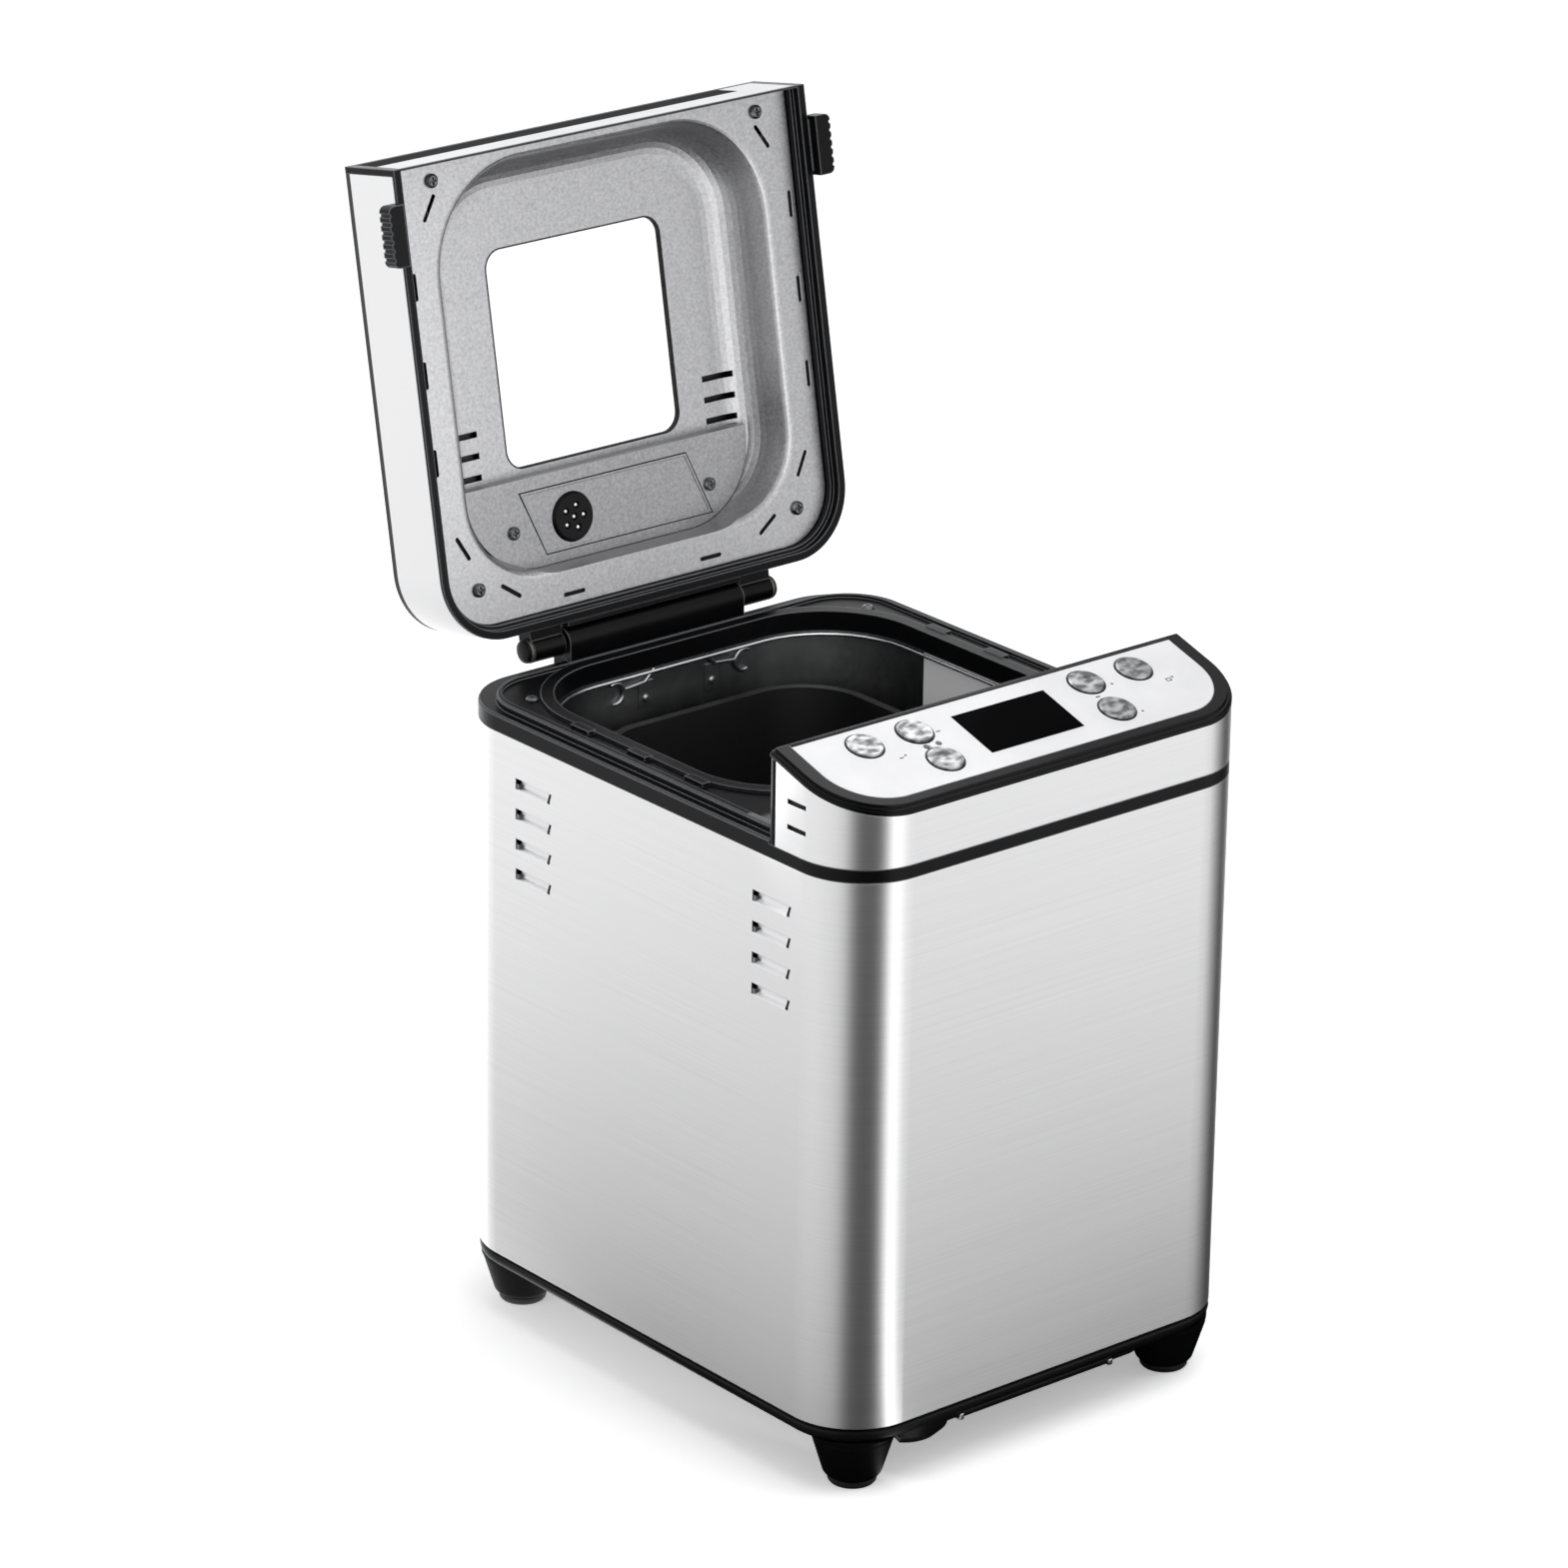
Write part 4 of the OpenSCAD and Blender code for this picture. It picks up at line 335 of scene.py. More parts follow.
def moulded(name, dark, light, roughness, per_mm=1.9, depth=0.04, coat=0.0, gloss=0.5):
    """Plastic, paint, ceramic or rubber with a fine grain; per_mm and depth as for the metals."""
    skin = {"Coat Weight": coat, "Coat Roughness": 0.12, "Specular IOR Level": gloss}
    made, tree, principled = new_material(name, light, roughness, 0.0, skin)
    fine = grain(tree, (per_mm, per_mm, per_mm))
    shaded(tree, principled, grain(tree, BLOTCHES), dark, light)
    uneven(tree, principled, fine, roughness - 0.07, roughness + 0.1)
    relief(tree, principled, fine, depth, 0.5, edge=0.7)
    return made


# ABS from a spark-eroded mould: nearly black, and a little silky
black_plastic = moulded("plastic_black_moulded", "060607", "0a0a0b", 0.3, gloss=0.11)
# The base tray is polypropylene, greyer and duller
base_plastic = moulded("plastic_black_base", "08080a", "0e0e0f", 0.36, gloss=0.14)
# The legs are scuffed enough to lose their shine
leg_plastic = moulded("plastic_black_leg", "060607", "0a0a0b", 0.5, gloss=0.05)
# ABS from a polished mould, for the bezel and the steam vent
gloss_black = moulded("plastic_black_gloss", "040405", "070708", 0.2, depth=0.008, gloss=0.13)
# The display's cover is smoked acrylic, which swallows nearly all the light
display_black = moulded("plastic_display_cover", "010101", "020203", 0.2, depth=0.002, gloss=0.005)
# Matt black with no shine at all, which paints the shade on the lid's front
shade_black_matt = moulded("painted_shade_matt_black", "080809", "101011", 0.6, gloss=0.02)
# The plate under the buttons is sprayed silver and lacquered
silver_paint = moulded("paint_silver_panel", "d6d6d8", "e2e2e4", 0.42, 1.4, 0.01, coat=0.2)
# Indicator lights that are off look like dark red glass
lens_dark = moulded("plastic_lens_dark", "170b0a", "241211", 0.2, depth=0.004, coat=0.3)
# Nylon bushes yellow a little with heat
cream_plastic = moulded("plastic_bush_cream", "a1977a", "b3a98a", 0.45, gloss=0.3)
# The heater's ends sit in unglazed ceramic
ceramic_white = moulded("ceramic_sleeve", "c9c3b3", "ded9ca", 0.55)
# A capacitor's white polypropylene case
capacitor_white = moulded("plastic_capacitor", "d4d4d0", "e3e3df", 0.4)
# Circuit boards under green solder mask
board_green = moulded("board_green", "1f4a30", "2a5f3e", 0.35)
# Rubber is matt, and its grain is the finest
rubber = moulded("rubber_black", "0c0c0d", "161617", 0.72, 2.6, 0.06)
print("materials in the file:", len(bpy.data.materials))

# %% [markdown]
# ## Painted highlights on the black plastic's edges
#
# On black plastic the eye finds the shape by its edges, which catch a thin grey line of
# light, and that highlight is painted. Where a rounded normal leaves the true one, there
# is an edge: the product of the two is 1 on a flat face and falls as they part, which
# makes the mask, and a grey is laid over the black there.

# %% Painted edge highlights
EDGE_RADIUS = 0.8 * MM
tree = black_plastic.node_tree
rounded = add_node(tree, "Bevel", {"Radius": EDGE_RADIUS}, samples=BEVEL_SAMPLES).outputs["Normal"]
true = add_node(tree, "NewGeometry").outputs["Normal"]
alike = add_node(tree, "VectorMath", {0: rounded, 1: true}, operation="DOT_PRODUCT")
# Painted highlight: a grey line along every edge of the black plastic
paint_over(black_plastic, mask_where(tree, (alike.outputs["Value"], 0.998, 0.965)), "6c6d71")
print("polished edges on:", black_plastic.name)

# %% [markdown]
# ## The pan's coating and the window's pane
#
# The pan and the paddle carry a sprayed fluoropolymer, black with a faint pale fleck
# about every millimetre. Flecks have no direction and keep apart from each other, which
# is what the cells of a Voronoi texture do: the middle of each cell becomes a fleck.
# The pane is toughened glass, clear and almost perfectly smooth.

# %% Coating and glass
FLECKS_PER_METRE = 900.0
COATING_ROUGHNESS = 0.42
pan_coating, tree, principled = new_material("coating_nonstick", "0b0b0c", COATING_ROUGHNESS)
place = add_node(tree, "TexCoord").outputs["Object"]
cells = add_node(tree, "TexVoronoi", {"Vector": place, "Scale": FLECKS_PER_METRE})
shaded(tree, principled, cells.outputs["Distance"], "1c1c1e", "0b0b0c", 0.03, 0.12)
fine = grain(tree, (1.2, 1.2, 1.2))
uneven(tree, principled, fine, COATING_ROUGHNESS - 0.06, COATING_ROUGHNESS + 0.1)
relief(tree, principled, fine, 0.03, 0.5)
window_glass, _, _ = new_material("glass_window", "ffffff", 0.02,
                                  sockets={"Transmission Weight": 1.0, "IOR": 1.45})
print("coating and pane:", pan_coating.name, window_glass.name)

# %% [markdown]
# ## Every part gets its surface
#
# The parts came in with plain colours. Each finish below lists the parts that wear it,
# so that one look at the table says what the machine is made of.

# %% Every part gets its surface
SURFACES = {
    steel: ["body_wrap", "housing_skin", "rear_seam_strip"],
    lid_steel: ["lid_shell"],
    black_plastic: ["top_frame", "collar", "housing_shell", "lid_frame", "lid_grips",
                    "large_pulley", "motor_spacers"],
    base_plastic: ["base_tray", "cord_gland"],
    leg_plastic: ["legs"],
    gloss_black: ["panel_bezel", "steam_vent"],
    chamber_steel: ["chamber"],
    bright_steel: ["heater_clips", "drive_shaft", "motor_shaft", "paddle_shaft", "pan_handle",
                   "drive_frame", "temperature_sensor", "motor"],
    spring_steel: ["pan_springs", "spring_rivets", "hinge_pins"],
    screw_steel: ["deck_screws", "base_screws"],
    lid_screw_steel: ["lid_screws"],
    pan_coating: ["bread_pan", "kneading_paddle"],
    cast_metal: ["bearing_housing", "drive_coupling", "pan_base", "motor_pulley"],
    panel_metal: ["lid_inner"],
    end_steel: ["lid_end_panel"],
    cover_metal: ["vent_plate"],
    silver_paint: ["panel_plate"],
    button_metal: [name for name in nodes if name.startswith("button_")],
    window_glass: ["lid_window"],
    display_black: ["display_window", "display_module"],
    lens_dark: ["indicator_lenses"],
    rubber: ["foot_pads", "window_gasket", "drive_belt"],
    board_green: ["control_board", "power_board"],
    ceramic_white: ["heater_terminals"],
    cream_plastic: ["hinge_bushes"],
    element_metal: ["heating_element"],
    capacitor_white: ["run_capacitor"],
}
for surface, names in SURFACES.items():
    for name in names:
        nodes[name].data.materials.clear()
        nodes[name].data.materials.append(surface)
dressed = {name for names in SURFACES.values() for name in names}
print("parts without a surface:", sorted(set(nodes) - dressed))

# %% [markdown]
# ## Trims that run round a rectangle
#
# Most trims of this machine run round a rounded rectangle: the tray's rim, the mouth of
# the chamber, the window. A curve with a bevel object could draw them, but `band` does
# it in the mesh: it lays one loop round the rectangle for each point of the trim's
# section and joins each loop to the next. The operator that bridges loops picks its own
# pairs of points, and on a section less than 2 mm across it can pick a pair right
# across the mouth, so the faces are named here, point by point. The body's sizes are
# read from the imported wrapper, so that the trims follow when it changes.

# %% Loops and bands
wrap_low, wrap_high = (Vector(v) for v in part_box("body_wrap"))
FRONT, BACK = wrap_low.y, wrap_high.y
STEEL_TOP = wrap_high.z
CORNER = 32 * MM
ARC_STEPS = 10


def outline(half, front, back, front_r, back_r):
    """Points round a rectangle with arcs at its corners, anticlockwise seen from above."""
    corners = [(half - front_r, front + front_r, front_r, -90),
               (half - back_r, back - back_r, back_r, 0),
               (back_r - half, back - back_r, back_r, 90),
               (front_r - half, front + front_r, front_r, 180)]
    points = []
    for x, y, radius, start in corners:
        for step in range(ARC_STEPS + 1):
            angle = math.radians(start + 90 * step / ARC_STEPS)
            points.append((x + radius * math.cos(angle), y + radius * math.sin(angle)))
    return points


def band(mesh, half, front, back, front_r, back_r, section):
    """A closed trim round that rectangle, from its section's (outward offset, height) points."""
    rings = []
    for out, z in section:
        loop = outline(half + out, front - out, back + out, front_r + out, back_r + out)
        rings.append([mesh.verts.new((x, y, z)) for x, y in loop])
    count = len(rings[0])
    for ring, following in zip(rings, rings[1:] + rings[:1]):
        for k in range(count):
            after = (k + 1) % count
            mesh.faces.new((ring[k], ring[after], following[after], following[k]))


print("wrapper:", [round(size / MM, 1) for size in wrap_high - wrap_low], "mm")

# %% [markdown]
# ## From a mesh to a piece of the machine
#
# Every piece ends the same way. Its sharp edges are rounded, points that lie on each
# other are merged, and its faces are turned outwards, because spinning and mirroring
# can leave them inside out. Its place stays in the mesh, with the object at the origin,
# and it then rides on the body that carries it, so that it moves when the body does.

# %% From a mesh to a piece of the machine
def placed(name, mesh, surface, smooth=False):
    """Makes a mesh an object in the scene, with its one material."""
    data = bpy.data.meshes.new(name)
    mesh.to_mesh(data)
    mesh.free()
    if smooth:
        data.shade_smooth()
    data.materials.append(surface)
    made = bpy.data.objects.new(name, data)
    bpy.context.scene.collection.objects.link(made)
    return made


def finished(name, mesh, surface, body, move=None, rounding=0.0, smooth=True):
    """Cleans and rounds a mesh, gives it its surface and lets it ride on a body."""
    if rounding > 0:
        bmesh.ops.bevel(mesh, geom=list(mesh.edges), offset=rounding, segments=2, profile=0.5,
                        affect="EDGES", material=-1)
    bmesh.ops.remove_doubles(mesh, verts=mesh.verts, dist=1e-7)
    if move is not None:
        bmesh.ops.transform(mesh, matrix=move, verts=mesh.verts)
    bmesh.ops.recalc_face_normals(mesh, faces=mesh.faces)
    made = placed(name, mesh, surface, smooth)
    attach(made, body)
    print(name + ":", len(made.data.polygons), "faces")


# %% [markdown]
# ## The tray's bead
#
# The base tray is moulded with a rounded bead all round its rim, which hides the cut
# edge of the steel above it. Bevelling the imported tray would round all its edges, so
# the bead is its own band, with a section of eight points that swells by a millimetre.

# %% Bead of the tray
# Its section in millimetres: outward from the steel, and above the table
BEAD = [(-0.7, 30.7), (-0.3, 30.3), (-0.08, 29.5), (-0.02, 28.6), (-0.2, 27.6), (-0.5, 26.8),
        (-1.0, 26.3), (-1.2, 28.5)]
mesh = bmesh.new()
band(mesh, wrap_high.x, FRONT, BACK, CORNER, CORNER, [(out * MM, z * MM) for out, z in BEAD])
finished("tray_bead", mesh, base_plastic, "body")

# %% [markdown]
# ## The bar and clips under the front
#
# A rounded bar stiffens the front of the shallow pan under the motor, and a small steel
# clip holds it at each end. Boxes with bevelled edges are all that the eye asks for
# here, in the shadow under the machine.

# %% Bar and clips of the tray
BAR_LEFT, BAR_RIGHT = -45, 39    # mm from the middle
CLIP_WIDTH = 2.4


def block(mesh, low, high):
    """A box between two corners; returns its eight points."""
    made = bmesh.ops.create_cube(mesh, size=1.0)["verts"]
    low, high = Vector(low), Vector(high)
    for vert in made:
        vert.co = Vector((low[k] + (vert.co[k] + 0.5) * (high[k] - low[k]) for k in range(3)))
    return made


mesh = bmesh.new()
block(mesh, (BAR_LEFT * MM, FRONT + 2.6 * MM, 21.8 * MM),
      (BAR_RIGHT * MM, FRONT + 10 * MM, 25.4 * MM))
finished("tray_front_bar", mesh, base_plastic, "body", rounding=1.2 * MM)

mesh = bmesh.new()
for x in (BAR_LEFT - 1, BAR_RIGHT - 1):
    block(mesh, (x * MM, FRONT + 2 * MM, 21.4 * MM),
          ((x + CLIP_WIDTH) * MM, FRONT + 6 * MM, 24.4 * MM))
finished("tray_clips", mesh, bright_steel, "body", rounding=0.5 * MM)

# %% [markdown]
# ## The liner's rolled edge
#
# The chamber's liner is rolled over at its mouth, so that no sharp sheet meets a hand,
# and the roll shows as a bright bead under the collar. It is a band with a round
# section, 1.8 mm thick.

# %% Rolled edge of the liner
collar_low, _ = (Vector(v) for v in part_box("collar"))
chamber_low, chamber_high = (Vector(v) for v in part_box("chamber"))
LINER_FLANGE = 5 * MM
LINER_CORNER = 45 * MM
ROLL_R = 0.9 * MM
liner_half = chamber_high.x - LINER_FLANGE
liner_front, liner_back = chamber_low.y + LINER_FLANGE, chamber_high.y - LINER_FLANGE
roll_z = collar_low.z - 1.1 * MM
roll = [(-1.3 * MM + ROLL_R * math.cos(turn), roll_z + ROLL_R * math.sin(turn))
        for turn in (math.tau * k / 10 for k in range(10))]
mesh = bmesh.new()
band(mesh, liner_half, liner_front, liner_back, LINER_CORNER, LINER_CORNER, roll)
finished("liner_rolled_edge", mesh, bright_steel, "body")

# %% [markdown]
# ## Where the lid's pieces go
#
# The lid is easiest to measure closed, with its faces level. So its small pieces are
# written as if it were closed, from the hinge's axis, and `open_lid` then swings them
# to where the lid stands.

# %% The lid's own measures
open_lid = (Matrix.Translation(lid_axis) @ Matrix.Rotation(-LID_OPEN, 4, "X")
            @ Matrix.Translation(-lid_axis))
AXIS_OVER_LEDGE = 7.3      # mm from the frame's ledge up to the hinge's axis
LID_REACH = 217.6          # from the axis to the lid's front face
LID_HEEL = 9.5             # from the axis to the lid's back face
LID_HEIGHT = 35.6          # from the ledge to the lid's top
PANE_DEPTH = 3.8           # from the lid's top down to the floor of its dish
LEDGE = lid_axis.z - AXIS_OVER_LEDGE * MM
LID_FRONT, LID_BACK = lid_axis.y - LID_REACH * MM, lid_axis.y - LID_HEEL * MM
LID_TOP = LEDGE + LID_HEIGHT * MM
DISH_FLOOR = LID_TOP - PANE_DEPTH * MM
print("closed lid: y from", round(LID_FRONT / MM, 1), "to", round(LID_BACK / MM, 1), "mm")

# %% [markdown]
# ## The window's lip
#
# A soft lip lines the cut edge of the window's opening, down to the pane, and draws a
# dark edge round the glass. It is half a millimetre thick, a band with a square section.

# %% Window lip
# Its section in millimetres: outward from the opening, and above the dish's floor
LIP = [(-0.6, -0.15), (-0.6, 3.5), (-0.02, 3.5), (-0.02, 0.1)]
WINDOW_HALF, WINDOW_CORNER = 48.3 * MM, 9 * MM
WINDOW_FRONT, WINDOW_BACK = LID_FRONT + 47.6 * MM, LID_BACK - 63.5 * MM
mesh = bmesh.new()
band(mesh, WINDOW_HALF, WINDOW_FRONT, WINDOW_BACK, WINDOW_CORNER, WINDOW_CORNER,
     [(out * MM, DISH_FLOOR + z * MM) for out, z in LIP])
finished("window_lip", mesh, rubber, "lid", move=open_lid, smooth=False)

# %% [markdown]
# ## Bright domes for the light through the steam vent
#
# Steam leaves through a black round vent with six holes, and light shows through them
# as six bright dots. That light is painted with bright steel: each dot is a small dome
# behind a hole, one in the middle and five round it, spun from a section of six points.

# %% Bright domes behind the vent's holes
DOME = [(0.0, -1.5), (0.6, -1.42), (1.1, -1.1), (1.35, -0.6), (1.35, 0.6), (0.0, 0.6)]
HOLE_RING = 5.2                # mm, radius of the ring of five
VENT_AT = (-22, -39.35, -7.4)  # mm from the middle, the lid's back and the dish's floor


def turned(mesh, place, section, segments):
    """A solid of revolution round the upright line through place, from (radius, height) points."""
    start = len(mesh.verts)
    verts = [mesh.verts.new(Vector(place) + Vector((radius, 0, height)))
             for radius, height in section]
    edges = [mesh.edges.new(pair) for pair in zip(verts, verts[1:])]
    bmesh.ops.spin(mesh, geom=verts + edges, cent=place, axis=(0, 0, 1), angle=math.tau,
                   steps=segments, use_merge=True)
    mesh.verts.ensure_lookup_table()
    return list(mesh.verts)[start:]


vent = Vector((VENT_AT[0] * MM, LID_BACK + VENT_AT[1] * MM, DISH_FLOOR + VENT_AT[2] * MM))
mesh = bmesh.new()
for ring, count in ((0.0, 1), (HOLE_RING, 5)):
    for k in range(count):
        angle = math.tau * k / count
        at = vent + Vector((ring * MM * math.cos(angle), ring * MM * math.sin(angle), 0))
        turned(mesh, at, [(radius * MM, z * MM) for radius, z in DOME], segments=16)
# Painted light: bright steel domes stand for the light seen through the holes
finished("vent_light_domes", mesh, bright_steel, "lid", move=open_lid)

# %% [markdown]
# ## The seam round the vent cover's panel
#
# The vent cover has a raised panel, a parallelogram, and a hairline gap runs round it.
# One face with the panel's corners is inset by half a millimetre, its middle is dropped,
# and the narrow rim that is left gets a thickness.

# %% Seam of the vent cover
# In millimetres from the hinge's axis, with the lid closed
SEAM_CORNERS = [(-49.55, -64.5), (43.3, -64.5), (54.85, -35.0), (-38.0, -35.0)]
SEAM_HEIGHT = 16.92
mesh = bmesh.new()
panel_face = mesh.faces.new([mesh.verts.new(lid_axis + Vector((x, y, SEAM_HEIGHT)) * MM)
                             for x, y in SEAM_CORNERS])
mesh.normal_update()
bmesh.ops.inset_region(mesh, faces=[panel_face], thickness=0.5 * MM, use_boundary=True,
                       use_even_offset=True)
bmesh.ops.delete(mesh, geom=[panel_face], context="FACES")
mesh.normal_update()
bmesh.ops.solidify(mesh, geom=list(mesh.faces), thickness=0.15 * MM)
finished("vent_panel_seam", mesh, rubber, "lid", move=open_lid, smooth=False)

# %% [markdown]
# ## Painted shade on the lid's front, and the web at its hinge
#
# A matt black strip covers most of the lid's front edge, where the sheet is folded in,
# and paints the shade that lies there. At the other end, the frame between the two ears
# reaches close to the hinge's barrel, so that no light shows between them. Both are plain
# boxes, the web with rounded edges.

# %% Painted shade on the lid's front, and hinge web
mesh = bmesh.new()
# Painted shade: a matt black strip over the upper part of the lid's front face
block(mesh, lid_axis + Vector((-107.6, -217.57, 11.5)) * MM,
      lid_axis + Vector((89.0, -217.3, 25.5)) * MM)
finished("lid_front_painted_shade", mesh, shade_black_matt, "lid", move=open_lid, smooth=False)

WEB_HALF = 48.2 * MM
mesh = bmesh.new()
block(mesh, (-WEB_HALF, LID_BACK - 0.2 * MM, LEDGE + 0.7 * MM),
      (WEB_HALF, LID_BACK + 2.15 * MM, LEDGE + 8.2 * MM))
finished("hinge_web", mesh, black_plastic, "lid", move=open_lid, rounding=0.4 * MM)

# %% [markdown]
# ## Hinge caps
#
# A moulded cap closes each end of the hinge and hides its pin. It is a shallow dome,
# spun upright and then laid on its side, once for each end.

# %% Hinge caps
# Radius and height in millimetres
CAP = [(0.0, 1.7), (3.6, 1.6), (4.9, 1.1), (5.35, 0.1), (5.35, -0.15), (0.0, -0.15)]
CAP_FROM_MIDDLE = 67.9 * MM
mesh = bmesh.new()
for side in (-1, 1):
    cap = turned(mesh, (0, 0, 0), [(radius * MM, z * MM) for radius, z in CAP], segments=32)
    laid = Matrix.Rotation(side * math.pi / 2, 4, "Y")
    end = Matrix.Translation((side * CAP_FROM_MIDDLE, lid_axis.y, lid_axis.z))
    bmesh.ops.transform(mesh, matrix=end @ laid, verts=cap)
finished("hinge_caps", mesh, black_plastic, "lid")

# %% [markdown]
# ## Slits and ends of the louvres
#
# Four louvres are pressed out of the sheet in each of two groups a side, to let the
# motor's warm air out. A short slanting slit frees each at its front end, and the open
# back end shows as a dark nick, because it lies in shade. They could be cut through the
# sheet, but both are so small that painted shade stands in for them: a thin leaning dark
# block for the slit and the shadow in it, and a small dark steel one for the shaded end.

# %% Slits and ends of the louvres
GROUPS = (FRONT + 51.2 * MM, BACK - 59 * MM)
LOUVRE_ROWS = 4
LOUVRE_DOWN, LOUVRE_PITCH = 19.6, 13.7    # mm from the sheet's top, and between rows
SLIT_LOW, SLIT_HIGH = -2.2, 2.3
SLIT_LEAN = 1.6
louvres = [(side, group, STEEL_TOP - (LOUVRE_DOWN + LOUVRE_PITCH * row) * MM)
           for side in (-1, 1) for group in GROUPS for row in range(LOUVRE_ROWS)]
# Painted shade: a thin dark block where the slit shows the dark behind the sheet
mesh = bmesh.new()
for side, group, z in louvres:
    y = group - 11.4 * MM
    slit = block(mesh, (-0.12 * MM, -0.65 * MM, SLIT_LOW * MM),
                 (0.08 * MM, 0.65 * MM, SLIT_HIGH * MM))
    for vert in slit:
        lean = (0.5 - (vert.co.z / MM - SLIT_LOW) / (SLIT_HIGH - SLIT_LOW)) * SLIT_LEAN * MM
        vert.co = Vector((side * (wrap_high.x + vert.co.x), y + vert.co.y + lean, z + vert.co.z))
finished("louvre_slit_shades", mesh, rubber, "body", smooth=False)

# Painted shade: a small dark steel block in each louvre's open back end
mesh = bmesh.new()
for side, group, z in louvres:
    low = (side * (wrap_high.x - 1.9 * MM), group + 9.9 * MM, z - 2.45 * MM)
    high = (side * (wrap_high.x - 0.35 * MM), group + 11.7 * MM, z - 0.1 * MM)
    block(mesh, [min(pair) for pair in zip(low, high)], [max(pair) for pair in zip(low, high)])
finished("louvre_end_shades", mesh, screw_steel, "body", smooth=False)

# %% [markdown]
# ## Painted shade round the buttons, and a strip on the control panel
#
# The panel leans back by 16.8 degrees. Its pieces are written flat, with Y up the slope,
# and `panel` tips them into place. The narrow gap round every button lies in shade, and
# a thin dark ring round each paints that shade; a dark strip runs along the plate's rear
# edge. They are rings spun round each button, and one strip.

# %% Painted shade round the buttons, and the plate's rear strip
SLOPE = math.radians(16.8)
PANEL_RISE = 31.5 * MM    # from the sheet's top to the panel's front edge
panel = Matrix.Translation((0, FRONT, STEEL_TOP + PANEL_RISE)) @ Matrix.Rotation(SLOPE, 4, "X")
INNER, OUTER, LOW, HIGH = 47.0, 73.6, 20.6, 40.9    # mm from the middle, and up the slope
BUTTONS = [(-OUTER, HIGH), (-INNER, HIGH), (-INNER, LOW), (INNER, HIGH), (INNER, LOW),
           (OUTER, HIGH)]
SHADE_RING = [(8.55, 0.02), (8.5, 0.12), (8.1, 0.12), (8.1, 0.02), (8.55, 0.02)]
mesh = bmesh.new()
# Painted shade: a dark ring in the gap round each button
for x, y in BUTTONS:
    turned(mesh, (x * MM, y * MM, 0), [(radius * MM, z * MM) for radius, z in SHADE_RING], segments=48)
finished("button_shade_rings", mesh, rubber, "body", move=panel)

PLATE_HALF, PLATE_REAR = 103.2 * MM, 52.1 * MM
mesh = bmesh.new()
block(mesh, (-PLATE_HALF, PLATE_REAR, 0.02 * MM), (PLATE_HALF, PLATE_REAR + 1.5 * MM, 0.22 * MM))
finished("plate_rear_dark_strip", mesh, rubber, "body", move=panel)

# %% [markdown]
# ## Marks beside the buttons
#
# The plate is printed beside each button. Here the print is only dots, dashes and empty
# squares, which belong to no maker and no language. Each stands a twentieth of a
# millimetre proud, like thick ink, so that it also has a body in other programs.

# %% Marks beside the buttons
MIDDLE = (LOW + HIGH) / 2
MARKS = [(-OUTER + 9.6, HIGH - 12.5, "dash"), (-OUTER + 12.2, HIGH - 11.6, "dot"),
         (-INNER - 1.4, MIDDLE - 0.8, "square"), (-INNER + 9.9, HIGH - 3.4, "dash"),
         (INNER + 10.2, HIGH - 5.0, "dot"), (INNER - 2.0, MIDDLE, "dash"),
         (INNER + 9.6, LOW - 5.4, "dot"), (OUTER + 9.6, HIGH - 12.0, "square"),
         (OUTER + 12.4, HIGH - 11.0, "dot")]
SIZES = {"dash": (1.1, 0.35), "dot": (0.5, 0.45), "square": (1.3, 1.0)}
STROKE = 0.4
mesh = bmesh.new()
for x, y, kind in MARKS:
    half_x, half_y = SIZES[kind]
    left, right, low, high = x - half_x, x + half_x, y - half_y, y + half_y
    bars = [(left, right, low, high)]
    if kind == "square":
        bars = [(left, right, low, low + STROKE), (left, right, high - STROKE, high),
                (left, left + STROKE, low, high), (right - STROKE, right, low, high)]
    for x0, x1, y0, y1 in bars:
        block(mesh, (x0 * MM, y0 * MM, -0.02 * MM), (x1 * MM, y1 * MM, 0.05 * MM))
finished("panel_marks", mesh, lens_dark, "body", move=panel, smooth=False)

# %% [markdown]
# ## White surroundings
#
# The machine stands on a white floor before white. More light would make them white and
# bleach the steel with them. Instead, floor and world shine only where the camera looks
# at them, straight, in a mirror or through the pane, and stay at a plain level for the
# light that they scatter on the machine. So the floor keeps the machine's soft shadow.

# %% Floor and world
def seen_directly(tree, scattered, seen):
    """A strength for what camera, mirrors and panes see, and another for scattered light."""
    rays = add_node(tree, "LightPath").outputs
    looks = rays["Is Camera Ray"]
    for ray in ("Is Glossy Ray", "Is Transmission Ray"):
        looks = add_node(tree, "Math", {0: looks, 1: rays[ray]}, operation="MAXIMUM").outputs[0]
    inputs = {"Value": looks, "To Min": scattered, "To Max": seen}
    return add_node(tree, "MapRange", inputs).outputs["Result"]


floor_material, tree, principled = new_material("floor_white", "f4f4f4", 0.9)
principled.inputs["Emission Color"].default_value = (1, 1, 1, 1)
tree.links.new(seen_directly(tree, 0.0, 0.35), principled.inputs["Emission Strength"])
mesh = bmesh.new()
bmesh.ops.create_grid(mesh, x_segments=1, y_segments=1, size=8.0)
floor = placed("floor", mesh, floor_material)

world = bpy.data.worlds.new("studio")
bpy.context.scene.world = world
world.use_nodes = True
background = world.node_tree.nodes["Background"]
world.node_tree.links.new(seen_directly(world.node_tree, 0.55, 1.0), background.inputs["Strength"])
background.inputs["Color"].default_value = (1, 1, 1, 1)
print("floor: 16 m square")

